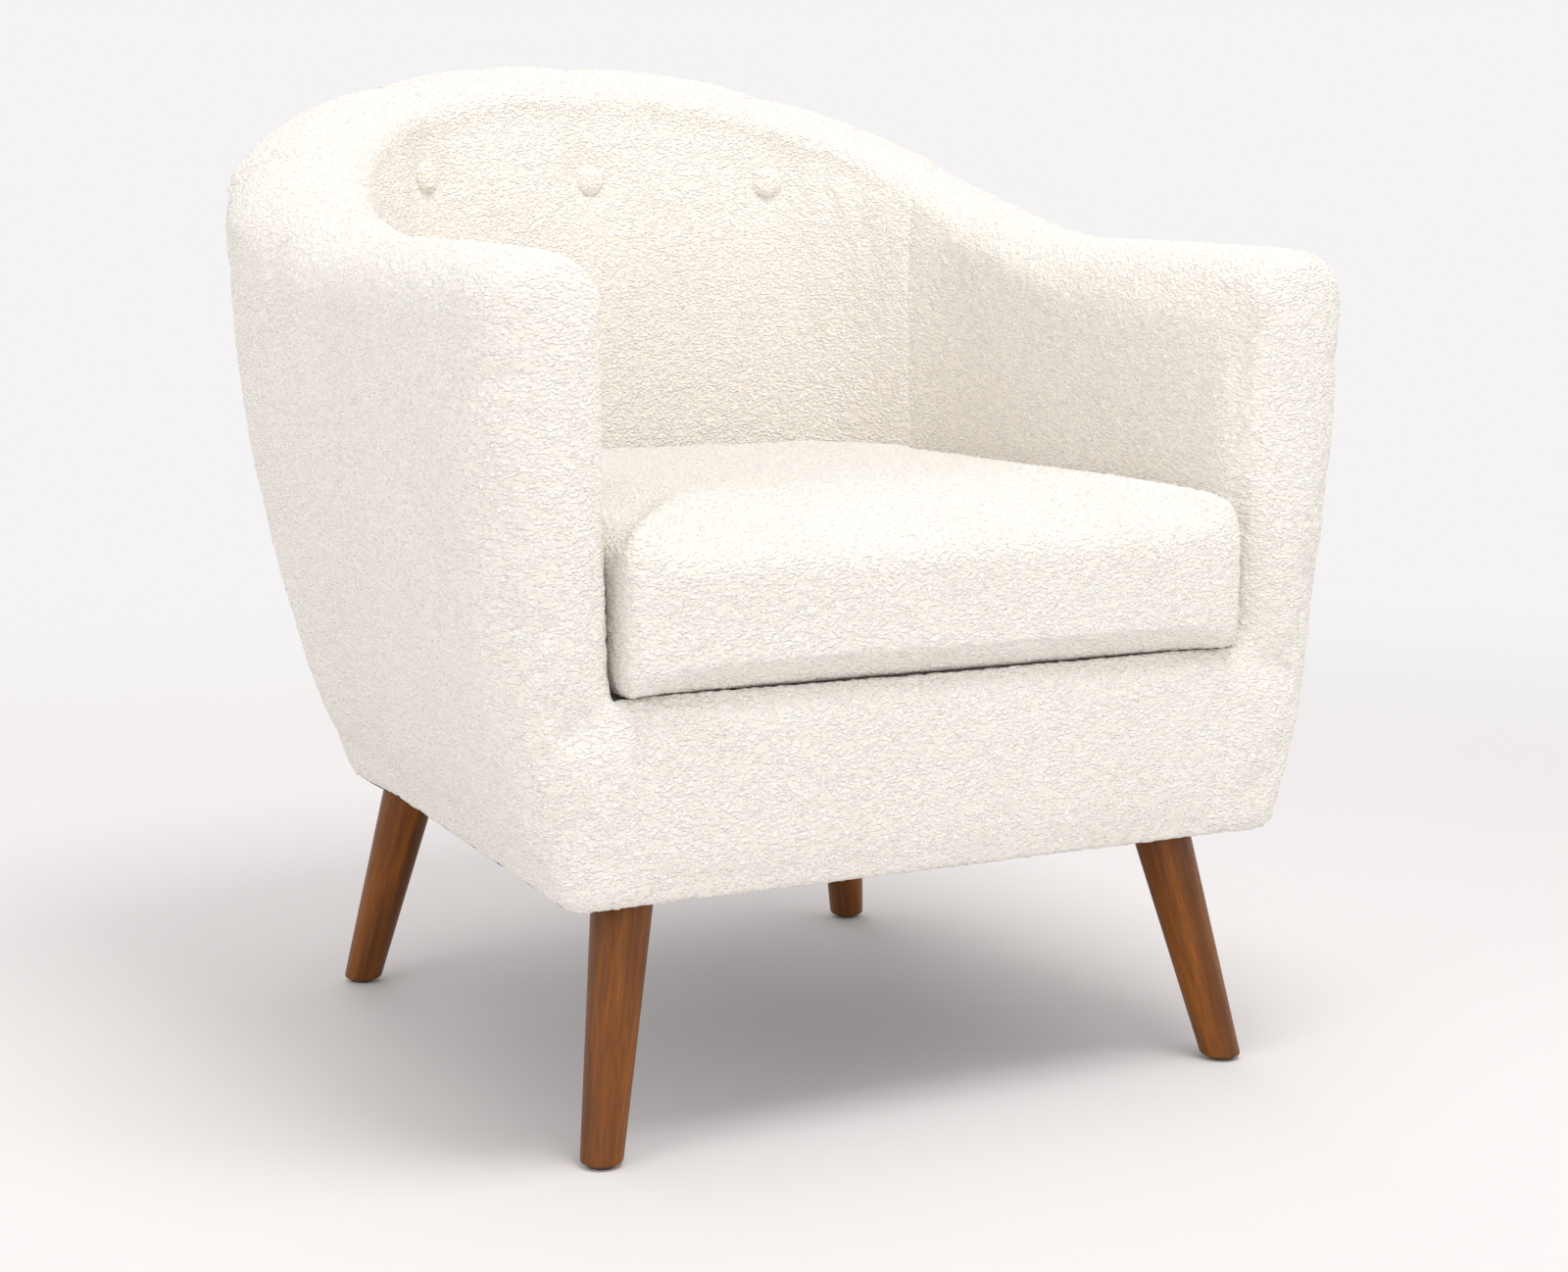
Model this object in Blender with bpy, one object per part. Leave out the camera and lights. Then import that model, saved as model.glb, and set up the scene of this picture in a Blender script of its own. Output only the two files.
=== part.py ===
"""Upholstered barrel armchair: splayed wooden legs, timber base frame, sprung seat and padded U-shaped wall.

Units are metres and +Z is up.  The chair faces -Y and its origin is on the floor under the middle of
its outline.  The wall is described by a station s that runs from -1 at the left arm's front, through 0
at the middle of the back, to +1 at the right arm's front.
"""

import math

import bmesh
import bpy
from mathutils import Matrix, Vector

GAP = 0.0003

# Body outline, seen from above
BODY_DEPTH = 0.683
CUSHION_PROUD = 0.010
ARM_HALF_WIDTH_FRONT = 0.370
ARM_HALF_WIDTH_REAR = 0.384
BASE_HALF_WIDTH_FRONT = 0.3075
BASE_HALF_WIDTH_REAR = 0.264
OUTER_STRAIGHT = 0.437
BACK_RAKE = 0.087
PLAN_POWER_TOP = 2.42
PLAN_POWER_BASE = 4.9
STRAIGHT_SHARE = 0.45

# Heights: the floor to the body, then rises above the body's lower edge
LEG_HEIGHT = 0.183
ARM_RISE_FRONT = 0.461
ARM_RISE_REAR = 0.4855
BACK_RISE = 0.607
DECK_RISE = 0.149
CREST_START = 0.2935
CREST_POWER = 0.871
ROLL_HEIGHT = 0.040

# Where the sides stop tapering, above the body's lower edge, and how round the taper is
TAPER_RISE_FRONT = 0.333
TAPER_RISE_REAR = 0.563
TAPER_RISE_BACK = 0.577
TAPER_POWER_FRONT = 2.08
TAPER_POWER_REAR = 1.65
TAPER_POWER_BACK = 2.87
PLAN_POWER_RISE = 0.417

# Seat well
SEAT_HALF_WIDTH = 0.268
SEAT_DEPTH = 0.545
SEAT_STRAIGHT = 0.378
SEAT_PLAN_POWER = 2.6
BACK_LEAN = 0.155

# Upholstery
SKIN = 0.008
PAD = 0.022
PAD_DROP = 0.090
FRONT_PANEL = 0.020
FRONT_JOINT = 0.0015
FRONT_COVER = 0.029
FRONT_COVER_HALF_WIDTH = 0.254
EDGE_ROUND = 0.008
BACK_SEAM = 0.425
OUTSIDE_SEAM = 0.400
SEAM_STATION_GAP = 0.0005
STATION_STEP = 0.04
PAD_COLUMNS = 14
DECK_THICKNESS = 0.0237
DECK_LAP = 0.018
DUST_CLOTH = 0.0012
DUST_CLOTH_RISE = 0.0015

# Timber frame
TIMBER = 0.022
POST_THICKNESS = 0.030
POST_WIDTH = 0.050
FRAME_MARGIN = 0.001
CLEAT_THICKNESS = 0.030
CLEAT_DEPTH = 0.085
CLEAT_MARGIN = 0.003
FRAME_RISE = 0.0093
TOP_RAIL_DROP = 0.045
BACK_POST_STATION = 0.28
BACK_POST_SPAN = 0.04
POST_SETBACK = 0.006

# Seat springs
SPRING_COUNT = 4
SPRING_WIRE = 0.0019
SPRING_HALF_WIDTH = 0.024
SPRING_PITCH = 0.027
CLIP_METAL = 0.0012
CLIP_WIDTH = 0.014
CLIP_TAB = 0.010
SPRING_ROOM = 0.0157

# Legs
LEG_TOP_RADIUS = 0.0229
LEG_FOOT_RADIUS = 0.0153
FRONT_FOOT_INSET = 0.0333
REAR_FOOT_INSET = 0.0186
FRONT_FOOT_SETBACK = 0.018
REAR_FOOT_FORWARD = 0.131
FRONT_LEG_SPLAY = (11.4, 12.5)
REAR_LEG_SPLAY = (10.7, -11.6)
GLIDE_RADIUS = 0.0105
GLIDE_THICKNESS = 0.0025
BOLT_RADIUS = 0.004
BOLT_IN_LEG = 0.040
BOLT_IN_CLEAT = 0.024
BOLT_CLEARANCE = 0.0004
LEG_HOLE_MARGIN = 0.002

# Back webbing and buttons
WEB_THICKNESS = 0.002
WEB_WIDTH = 0.050
WEB_DROPS = (0.337, 0.237)
WEB_SPAN = 0.330
BUTTON_RADIUS = 0.0145
BUTTON_THICKNESS = 0.009
BUTTON_DROP = 0.100
BUTTON_SPACING = 0.165
BUTTON_STAND = 0.0012
TWINE_RADIUS = 0.0009
TWINE_HOLE = 0.0015
TOGGLE_RADIUS = 0.009
TOGGLE_THICKNESS = 0.002

# Loose seat cushion
CUSHION_THICKNESS = 0.124
CUSHION_CLEARANCE = 0.006
CUSHION_CORNER = 0.030
CUSHION_EDGE = 0.016
CUSHION_FLAT_BACK = 0.012
COVER_CLOTH = 0.003
ZIP_HALF_LENGTH = 0.105
ZIP_HALF_HEIGHT = 0.007
SLIDER_LENGTH = 0.012
SLIDER_HEIGHT = 0.009
SLIDER_THICKNESS = 0.0032

FRONT_Y = (CUSHION_PROUD - BODY_DEPTH) / 2
BACK_Y = FRONT_Y + BODY_DEPTH
DECK_Z = LEG_HEIGHT + DECK_RISE
FRAME_Z = LEG_HEIGHT + FRAME_RISE
CLEAT_TOP = FRAME_Z + CLEAT_THICKNESS
RAIL_BOTTOM = CLEAT_TOP + GAP
DECK_BOTTOM = DECK_Z - DECK_THICKNESS
RAIL_TOP = DECK_BOTTOM - SPRING_ROOM
POST_INSET = SKIN + FRAME_MARGIN
RAIL_OUTER_X = (min(BASE_HALF_WIDTH_FRONT, BASE_HALF_WIDTH_REAR)
                - POST_INSET - POST_THICKNESS - GAP)
RAIL_INNER_X = RAIL_OUTER_X - TIMBER
FRAME_FRONT_Y = FRONT_Y + FRONT_COVER + 2 * GAP
TOP_RAIL_INSET = PAD + FRAME_MARGIN
CUSHION_Z = DECK_Z + 3 * GAP


# ---------------------------------------------------------------- materials

def material(name, color, roughness, metallic=0.0):
    """A plain Principled material."""
    made = bpy.data.materials.new(name)
    made.use_nodes = True
    shader = made.node_tree.nodes["Principled BSDF"]
    shader.inputs["Base Color"].default_value = (*color, 1.0)
    shader.inputs["Roughness"].default_value = roughness
    shader.inputs["Metallic"].default_value = metallic
    return made


# ---------------------------------------------------------------- the wall's form

def smooth(value):
    """0 to 1 with level ends."""
    value = min(max(value, 0.0), 1.0)
    return value * value * (3 - 2 * value)


def taper(z, rise, power):
    """How far the taper has gone at height z: 0 above its start and 1 at the body's lower edge."""
    share = (LEG_HEIGHT + rise - z) / rise
    return min(max(share, 0.0), 1.0) ** power


def crest_z(s):
    """Height of the padded top edge at station s."""
    u = 1 - abs(s)
    climb = smooth(max((u - CREST_START) / (1 - CREST_START), 0.0) ** CREST_POWER)
    arm = ARM_RISE_FRONT + (ARM_RISE_REAR - ARM_RISE_FRONT) * u
    return LEG_HEIGHT + arm + (BACK_RISE - ARM_RISE_REAR) * climb


def plan_point(s, half_front, half_rear, straight, back_y, power):
    """A point on a U-shaped outline: two near-straight arms joined by a superellipse."""
    u = 1 - abs(s)
    side = -1.0 if s < 0 else 1.0
    straight_y = FRONT_Y + straight
    if u < STRAIGHT_SHARE:
        share = u / STRAIGHT_SHARE
        x = half_front + (half_rear - half_front) * share
        return Vector((side * x, FRONT_Y + straight * share))
    angle = (u - STRAIGHT_SHARE) / (1 - STRAIGHT_SHARE) * math.pi / 2
    x = half_rear * max(math.cos(angle), 0.0) ** (2 / power)
    y = straight_y + (back_y - straight_y) * math.sin(angle) ** (2 / power)
    return Vector((side * x, y))


def outer_plan(s, z):
    """The outside of the wall at height z."""
    front = ARM_HALF_WIDTH_FRONT - (ARM_HALF_WIDTH_FRONT - BASE_HALF_WIDTH_FRONT) * taper(
        z, TAPER_RISE_FRONT, TAPER_POWER_FRONT)
    rear = ARM_HALF_WIDTH_REAR - (ARM_HALF_WIDTH_REAR - BASE_HALF_WIDTH_REAR) * taper(
        z, TAPER_RISE_REAR, TAPER_POWER_REAR)
    back_y = BACK_Y - BACK_RAKE * taper(z, TAPER_RISE_BACK, TAPER_POWER_BACK)
    share = min(max((z - LEG_HEIGHT) / PLAN_POWER_RISE, 0.0), 1.0)
    power = PLAN_POWER_BASE + (PLAN_POWER_TOP - PLAN_POWER_BASE) * share
    return plan_point(s, front, rear, OUTER_STRAIGHT, back_y, power)


def inner_plan(s, z):
    """The inside of the wall at height z; the inside back leans away as it rises."""
    back_y = FRONT_Y + SEAT_DEPTH + (z - DECK_Z) * BACK_LEAN
    return plan_point(s, SEAT_HALF_WIDTH, SEAT_HALF_WIDTH, SEAT_STRAIGHT, back_y, SEAT_PLAN_POWER)


def toward_seat(plan, s, z):
    """Unit vector square to a plan outline, pointing to the seat."""
    step = 1e-4
    along = plan(min(s + step, 1.0), z) - plan(max(s - step, -1.0), z)
    return Vector((along.y, -along.x)).normalized()


def outer_point(s, z, depth):
    """A point at this depth inside the wall, measured from its outside."""
    flat = outer_plan(s, z) + toward_seat(outer_plan, s, z) * depth
    return Vector((flat.x, flat.y, z))


def inner_point(s, z, depth):
    """A point at this depth inside the wall, measured from its seat side."""
    flat = inner_plan(s, z) - toward_seat(inner_plan, s, z) * depth
    return Vector((flat.x, flat.y, z))


def pad_point(s, share, depth):
    """A point on the path of the padding: up the outside, over the roll and down to the deck."""
    outside, roll = 2 / PAD_COLUMNS, 8 / PAD_COLUMNS
    spring_line = crest_z(s) - ROLL_HEIGHT
    if share < outside:
        low = crest_z(s) - PAD_DROP
        return outer_point(s, low + (spring_line - low) * share / outside, depth)
    if share > roll:
        low = DECK_Z + GAP
        down = (share - roll) / (1 - roll)
        return inner_point(s, spring_line + (low - spring_line) * down, depth)
    angle = (share - outside) / (roll - outside) * math.pi
    start = outer_point(s, spring_line, 0.0)
    end = inner_point(s, spring_line, 0.0)
    across = (end - start).normalized()
    half = (end - start).length / 2 - depth
    middle = (start + end) / 2
    lift = Vector((0, 0, (ROLL_HEIGHT - depth) * math.sin(angle)))
    return middle - across * half * math.cos(angle) + lift


def station_at(y, straight):
    """The station on the right arm whose distance from the front is y - FRONT_Y."""
    return 1 - STRAIGHT_SHARE * (y - FRONT_Y) / straight


def stations(start, end):
    """Stations from start to end through a grid that all pieces share, so their edges match."""
    low, high = sorted((start, end))
    first = math.floor(low / STATION_STEP) + 1
    last = math.ceil(high / STATION_STEP) - 1
    shared = [i * STATION_STEP for i in range(first, last + 1)]
    close = STATION_STEP / 8
    inside = [s for s in shared if low + close < s < high - close]
    return [low] + inside + [high]


# ---------------------------------------------------------------- mesh helpers

def add_object(name, bm, finish, smooth_angle=40.0):
    """Turn a bmesh into a named object with one material."""
    bmesh.ops.recalc_face_normals(bm, faces=bm.faces)
    mesh = bpy.data.meshes.new(name)
    bm.to_mesh(mesh)
    bm.free()
    mesh.materials.append(finish)
    mesh.shade_smooth()
    mesh.set_sharp_from_angle(angle=math.radians(smooth_angle))
    made = bpy.data.objects.new(name, mesh)
    bpy.context.scene.collection.objects.link(made)
    return made


def curved_slab(name, finish, places, cols, point):
    """A closed slab along the stations in places; point(station, share, face) gives its corners."""
    bm = bmesh.new()
    rows = len(places) - 1
    grid = [[[bm.verts.new(point(s, j / cols, face)) for face in (0, 1)]
             for j in range(cols + 1)] for s in places]
    for i in range(rows):
        for j in range(cols):
            for face in (0, 1):
                bm.faces.new((grid[i][j][face], grid[i + 1][j][face],
                              grid[i + 1][j + 1][face], grid[i][j + 1][face]))
    for i in range(rows):
        for j in (0, cols):
            bm.faces.new((grid[i][j][0], grid[i + 1][j][0], grid[i + 1][j][1], grid[i][j][1]))
    for j in range(cols):
        for i in (0, rows):
            bm.faces.new((grid[i][j][0], grid[i][j + 1][0], grid[i][j + 1][1], grid[i][j][1]))
    return add_object(name, bm, finish)


def prism(name, finish, outline, offset):
    """An outline extruded by the vector offset."""
    bm = bmesh.new()
    face = bm.faces.new([bm.verts.new(point) for point in outline])
    grown = bmesh.ops.extrude_face_region(bm, geom=[face])
    moved = [item for item in grown["geom"] if isinstance(item, bmesh.types.BMVert)]
    bmesh.ops.translate(bm, vec=offset, verts=moved)
    return add_object(name, bm, finish, smooth_angle=30.0)


def box(name, finish, low, high, edge=0.0):
    """A box between two corners, with its edges eased."""
    bm = bmesh.new()
    bmesh.ops.create_cube(bm, size=1.0)
    size = Vector(high) - Vector(low)
    middle = (Vector(high) + Vector(low)) / 2
    bmesh.ops.scale(bm, vec=size, verts=bm.verts)
    bmesh.ops.translate(bm, vec=middle, verts=bm.verts)
    if edge:
        bmesh.ops.bevel(bm, geom=list(bm.edges), offset=edge, segments=2, profile=0.5,
                        affect="EDGES", clamp_overlap=True)
    return add_object(name, bm, finish, smooth_angle=50.0)


def loft(name, finish, rings):
    """Closed rings of equal length joined in order and capped."""
    bm = bmesh.new()
    made = [[bm.verts.new(point) for point in ring] for ring in rings]
    count = len(made[0])
    for low, high in zip(made, made[1:]):
        for i in range(count):
            j = (i + 1) % count
            bm.faces.new((low[i], low[j], high[j], high[i]))
    bm.faces.new(made[0])
    bm.faces.new(made[-1])
    return add_object(name, bm, finish)


def turned(name, finish, profile, sides, frame):
    """A profile of (radius, height) pairs turned about the local Z axis of frame."""
    bm = bmesh.new()
    rings = []
    for radius, height in profile:
        turn = [2 * math.pi * i / sides for i in range(sides)]
        rings.append([bm.verts.new(frame @ Vector((radius * math.cos(a), radius * math.sin(a), height)))
                      for a in turn])
    for low, high in zip(rings, rings[1:]):
        for i in range(sides):
            j = (i + 1) % sides
            bm.faces.new((low[i], low[j], high[j], high[i]))
    bm.faces.new(rings[0])
    bm.faces.new(rings[-1])
    return add_object(name, bm, finish)


def as_cutter(cutter):
    """Keep an object as a cutting tool only."""
    cutter.hide_render = True
    cutter.display_type = "WIRE"
    return cutter


def cut(target, cutter):
    """Subtract a cutter from a piece."""
    as_cutter(cutter)
    change = target.modifiers.new(cutter.name, "BOOLEAN")
    change.operation = "DIFFERENCE"
    change.solver = "EXACT"
    change.object = cutter


def mix(low, high, share):
    """Linear blend."""
    return low + (high - low) * share


# ---------------------------------------------------------------- upholstery

def outside_panel(name, finish, start, end):
    """Thin outer cover panel, from the body's lower edge to the padding's outer edge."""
    levels = 6

    def point(s, share, face):
        z = mix(LEG_HEIGHT, crest_z(s) - PAD_DROP - 2 * GAP, share)
        return outer_point(s, z, SKIN * face)

    return curved_slab(name, finish, stations(start, end), levels, point)


def wall_pad(name, finish, start, end):
    """Padding that runs from the outside, over the crest roll and down to the deck."""
    def point(s, share, face):
        return pad_point(s, share, PAD * face)

    return curved_slab(name, finish, stations(start, end), PAD_COLUMNS, point)


def arm_front(name, finish, side):
    """Padded front face of one arm, with eased front edges."""
    spring_line = crest_z(side) - ROLL_HEIGHT
    steps = 8
    outline = []
    for i in range(steps):
        z = mix(LEG_HEIGHT, spring_line, i / steps)
        outline.append((outer_plan(1.0, z).x, z))
    outer_x = outer_plan(1.0, spring_line).x
    middle = (outer_x + SEAT_HALF_WIDTH) / 2
    half = (outer_x - SEAT_HALF_WIDTH) / 2
    for i in range(steps + 1):
        angle = math.pi * i / steps
        outline.append((middle + half * math.cos(angle), spring_line + ROLL_HEIGHT * math.sin(angle)))
    inner_low = FRONT_COVER_HALF_WIDTH + GAP
    outline += [(SEAT_HALF_WIDTH, DECK_Z), (inner_low, DECK_Z), (inner_low, LEG_HEIGHT)]
    bm = bmesh.new()
    face = bm.faces.new([bm.verts.new((side * x, FRONT_Y, z)) for x, z in outline])
    rim = list(face.edges)
    grown = bmesh.ops.extrude_face_region(bm, geom=[face], use_keep_orig=True)
    moved = [item for item in grown["geom"] if isinstance(item, bmesh.types.BMVert)]
    bmesh.ops.translate(bm, vec=(0, FRONT_PANEL, 0), verts=moved)
    bmesh.ops.bevel(bm, geom=rim, offset=EDGE_ROUND, segments=2, profile=0.5, affect="EDGES",
                    clamp_overlap=True)
    return add_object(name, bm, finish)


def make_upholstery(fabric, backing):
    """The fixed fabric-covered pieces."""
    seam = BACK_SEAM + SEAM_STATION_GAP
    back_half = BACK_SEAM - SEAM_STATION_GAP
    outside = OUTSIDE_SEAM + SEAM_STATION_GAP
    outside_half = OUTSIDE_SEAM - SEAM_STATION_GAP
    pad_front = station_at(FRONT_Y + FRONT_PANEL + FRONT_JOINT, SEAT_STRAIGHT)
    skin_front = station_at(FRONT_Y + FRONT_PANEL + FRONT_JOINT, OUTER_STRAIGHT)
    inside_back = wall_pad("inside_back_pad", fabric, -back_half, back_half)
    outside_panel("outside_back_panel", fabric, -outside_half, outside_half)
    for side, word in ((-1, "left"), (1, "right")):
        wall_pad(f"arm_pad_{word}", fabric, side * seam, side * pad_front)
        outside_panel(f"outside_arm_panel_{word}", fabric, side * outside, side * skin_front)
        arm_front(f"arm_front_panel_{word}", fabric, side)
    box("front_rail_cover", fabric,
        (-FRONT_COVER_HALF_WIDTH, FRONT_Y + FRAME_MARGIN, LEG_HEIGHT),
        (FRONT_COVER_HALF_WIDTH, FRONT_Y + FRONT_COVER, DECK_Z), EDGE_ROUND)
    make_deck(backing)
    make_buttons(fabric, backing, inside_back)


def plan_plate(name, finish, plan, depth, low, high, plan_z):
    """A flat plate that follows the wall's plan on three sides and is straight at the front."""
    straight = SEAT_STRAIGHT if plan is inner_plan else OUTER_STRAIGHT
    front = station_at(FRAME_FRONT_Y, straight)
    outline = []
    for s in stations(-front, front):
        flat = plan(s, plan_z) + toward_seat(plan, s, plan_z) * depth
        outline.append((flat.x, flat.y, low))
    return prism(name, finish, outline, (0, 0, high - low))


def make_deck(backing):
    """Sprung deck pad under the cushion and the dust cloth that closes the bottom."""
    plan_plate("seat_deck_pad", backing, inner_plan, -DECK_LAP, DECK_BOTTOM, DECK_Z, DECK_Z)
    low = LEG_HEIGHT + DUST_CLOTH_RISE
    cloth = plan_plate("dust_cloth", backing, outer_plan, SKIN + FRAME_MARGIN, low, low + DUST_CLOTH,
                       LEG_HEIGHT)
    for name, foot, direction in legs():
        frame = leg_frame(foot, direction)
        hole = turned(f"cutter_cloth_{name}", backing,
                      [(LEG_TOP_RADIUS + LEG_HOLE_MARGIN, LEG_HEIGHT * 0.8),
                       (LEG_TOP_RADIUS + LEG_HOLE_MARGIN, LEG_HEIGHT * 1.2)], 16, frame)
        cut(cloth, hole)


# ---------------------------------------------------------------- buttons

def button_frame(x):
    """Placement on the inside back: local +Z points out of the padding into the seat."""
    z = LEG_HEIGHT + BACK_RISE - BUTTON_DROP
    low, high = 0.0, BACK_SEAM
    for _ in range(40):
        middle = (low + high) / 2
        if inner_plan(middle, z).x < abs(x):
            low = middle
        else:
            high = middle
    s = math.copysign(low, x) if x else 0.0
    flat = toward_seat(inner_plan, s, z)
    along = inner_point(s, z + 0.01, 0.0) - inner_point(s, z - 0.01, 0.0)
    normal = Vector((flat.x, flat.y, 0.0))
    normal = (normal - along.normalized() * normal.dot(along.normalized())).normalized()
    place = Matrix.Translation(inner_point(s, z, 0.0))
    return place @ normal.to_track_quat("Z", "Y").to_matrix().to_4x4()


def make_buttons(fabric, backing, inside_back):
    """Three covered buttons, each tied through the padding to a toggle behind it."""
    for word, x in (("left", -BUTTON_SPACING), ("centre", 0.0), ("right", BUTTON_SPACING)):
        frame = button_frame(x)
        top = BUTTON_STAND + BUTTON_THICKNESS
        dome = [(BUTTON_RADIUS * math.cos(a), mix(BUTTON_STAND + BUTTON_THICKNESS / 3, top, math.sin(a)))
                for a in (0.0, 0.45, 0.9, 1.25)]
        turned(f"back_button_{word}", fabric, [(BUTTON_RADIUS * 0.85, BUTTON_STAND)] + dome, 16, frame)
        back = -(PAD + GAP + WEB_THICKNESS + 0.002)
        turned(f"button_tie_{word}", backing,
               [(TOGGLE_RADIUS, back - TOGGLE_THICKNESS), (TOGGLE_RADIUS, back),
                (TWINE_RADIUS, back), (TWINE_RADIUS, BUTTON_STAND - GAP)], 8, frame)
        hole = turned(f"cutter_twine_{word}", backing,
                      [(TWINE_HOLE, -2 * PAD), (TWINE_HOLE, PAD)], 8, frame)
        cut(inside_back, hole)


def make_webbing(web):
    """Elastic webbing bands stretched behind the inside back padding."""
    for number, drop in enumerate(WEB_DROPS, start=1):
        def point(s, share, face, low=LEG_HEIGHT + BACK_RISE - drop):
            return inner_point(s, low + WEB_WIDTH * share, PAD + GAP + WEB_THICKNESS * face)
        curved_slab(f"back_webbing_{number}", web, stations(-WEB_SPAN, WEB_SPAN), 1, point)


# ---------------------------------------------------------------- timber frame

def frame_back_y():
    """Rear face of the seat frame, just behind the rear legs' tops."""
    foot, direction = legs()[-1][1:]
    return foot.y + direction.y * FRAME_Z + LEG_TOP_RADIUS + CLEAT_MARGIN


def cleat_half_width(name):
    """Half-width of the cleat over one pair of legs, just past the legs' tops."""
    foot, direction = next(leg[1:] for leg in legs() if leg[0] == f"{name}_right")
    return foot.x + direction.x * FRAME_Z + LEG_TOP_RADIUS + CLEAT_MARGIN / 2


def wall_post(name, finish, start, end, top_drop):
    """An upright that stands inside the wall and follows its taper."""
    levels = 6

    def point(s, share, face):
        z = mix(FRAME_Z, crest_z(s) - top_drop, share)
        return outer_point(s, z, POST_INSET + POST_THICKNESS * face)

    return curved_slab(name, finish, stations(start, end), levels, point)


def back_post_station(rear):
    """Outer edge of a back post: the first station of the shared grid that clears the seat frame."""
    s = BACK_POST_STATION
    side_clear = max(cleat_half_width("rear"), RAIL_OUTER_X) + GAP
    while s > BACK_POST_SPAN:
        inner_edge = outer_point(s, FRAME_Z, POST_INSET + POST_THICKNESS)
        if inner_edge.y > rear + GAP or inner_edge.x > side_clear:
            break
        s -= STATION_STEP
    return s


def top_rail(name, finish, start, end):
    """A bent rail that carries the padded roll."""
    levels = 2

    def point(s, share, face):
        z = mix(crest_z(s) - PAD_DROP, crest_z(s) - TOP_RAIL_DROP, share)
        return outer_point(s, z, TOP_RAIL_INSET + TIMBER * face)

    return curved_slab(name, finish, stations(start, end), levels, point)


def make_frame(timber):
    """Seat rails, leg cleats, posts and the bent arm and crest rails."""
    rear = frame_back_y()
    post_start = back_post_station(rear)
    for side, word in ((-1, "left"), (1, "right")):
        inner, outer = sorted((side * RAIL_INNER_X, side * RAIL_OUTER_X))
        box(f"seat_rail_{word}", timber, (inner, FRAME_FRONT_Y, RAIL_BOTTOM),
            (outer, rear, RAIL_TOP))
        front = station_at(FRONT_Y + FRONT_PANEL + POST_SETBACK, OUTER_STRAIGHT)
        behind = station_at(FRONT_Y + FRONT_PANEL + POST_SETBACK + POST_WIDTH, OUTER_STRAIGHT)
        wall_post(f"front_post_{word}", timber, side * front, side * behind, PAD_DROP + 2 * GAP)
        wall_post(f"back_post_{word}", timber, side * post_start,
                  side * (post_start - BACK_POST_SPAN), PAD_DROP + 2 * GAP)
        top_rail(f"arm_rail_{word}", timber, side * front, side * (BACK_SEAM + SEAM_STATION_GAP))
    clear = RAIL_INNER_X - GAP
    box("seat_rail_front", timber, (-clear, FRAME_FRONT_Y, RAIL_BOTTOM),
        (clear, FRAME_FRONT_Y + TIMBER, RAIL_TOP))
    box("seat_rail_back", timber, (-clear, rear - TIMBER, RAIL_BOTTOM), (clear, rear, RAIL_TOP))
    top_rail("crest_rail", timber, -(BACK_SEAM - SEAM_STATION_GAP), BACK_SEAM - SEAM_STATION_GAP)
    front_half, rear_half = cleat_half_width("front"), cleat_half_width("rear")
    front_cleat = box("front_leg_cleat", timber, (-front_half, FRAME_FRONT_Y, FRAME_Z),
                      (front_half, FRAME_FRONT_Y + CLEAT_DEPTH, CLEAT_TOP))
    rear_cleat = box("rear_leg_cleat", timber, (-rear_half, rear - CLEAT_DEPTH, FRAME_Z),
                     (rear_half, rear, CLEAT_TOP))
    return front_cleat, rear_cleat, rear


# ---------------------------------------------------------------- springs

def spring_wire(name, steel, x, start, end, z):
    """A zigzag spring of round wire whose end bars lie across x in the clips."""
    bars = max(4, round((end - start) / SPRING_PITCH))
    pitch = (end - start) / bars
    route = []
    for i in range(bars + 1):
        side = 1 if i % 2 else -1
        y = start + pitch * i
        route.append((x - side * SPRING_HALF_WIDTH * 0.75, y, z))
        route.append((x + side * SPRING_HALF_WIDTH * 0.75, y, z))
        if i < bars:
            route.append((x + side * SPRING_HALF_WIDTH, y + pitch / 2, z))
    curve = bpy.data.curves.new(name, "CURVE")
    curve.dimensions = "3D"
    curve.bevel_depth = SPRING_WIRE
    curve.bevel_resolution = 1
    curve.use_fill_caps = True
    spline = curve.splines.new("POLY")
    spline.points.add(len(route) - 1)
    for point, place in zip(spline.points, route):
        point.co = (*place, 1.0)
    curve.materials.append(steel)
    made = bpy.data.objects.new(name, curve)
    bpy.context.scene.collection.objects.link(made)


def spring_clip(name, steel, x, y, z, facing):
    """A folded steel clip round a spring's end bar, open on the side that facing points to."""
    inner = SPRING_WIRE + GAP
    outer = inner + CLIP_METAL
    steps = 6
    inside, outside = [], []
    for i in range(steps + 1):
        angle = math.pi * i / steps
        inside.append((-facing * inner * math.sin(angle), -inner * math.cos(angle)))
        outside.append((-facing * outer * math.sin(angle), -outer * math.cos(angle)))
    outline = [(facing * CLIP_TAB, -inner)] + inside + outside[::-1] + [(facing * CLIP_TAB, -outer)]
    points = [(x - CLIP_WIDTH / 2, y + dy, z + dz) for dy, dz in outline]
    prism(name, steel, points, (CLIP_WIDTH, 0, 0))


def make_springs(steel, rear):
    """Zigzag seat springs on the front and back rails, held by clips."""
    span = 2 * (RAIL_INNER_X - GAP)
    z = RAIL_TOP + 2 * GAP + CLIP_METAL + SPRING_WIRE
    start = FRAME_FRONT_Y + TIMBER / 2
    end = rear - TIMBER / 2
    for i in range(SPRING_COUNT):
        x = -span / 2 + span * (i + 0.5) / SPRING_COUNT
        number = i + 1
        spring_wire(f"seat_spring_{number}", steel, x, start, end, z)
        spring_clip(f"spring_clip_front_{number}", steel, x, start, z, 1)
        spring_clip(f"spring_clip_back_{number}", steel, x, end, z, -1)


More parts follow.
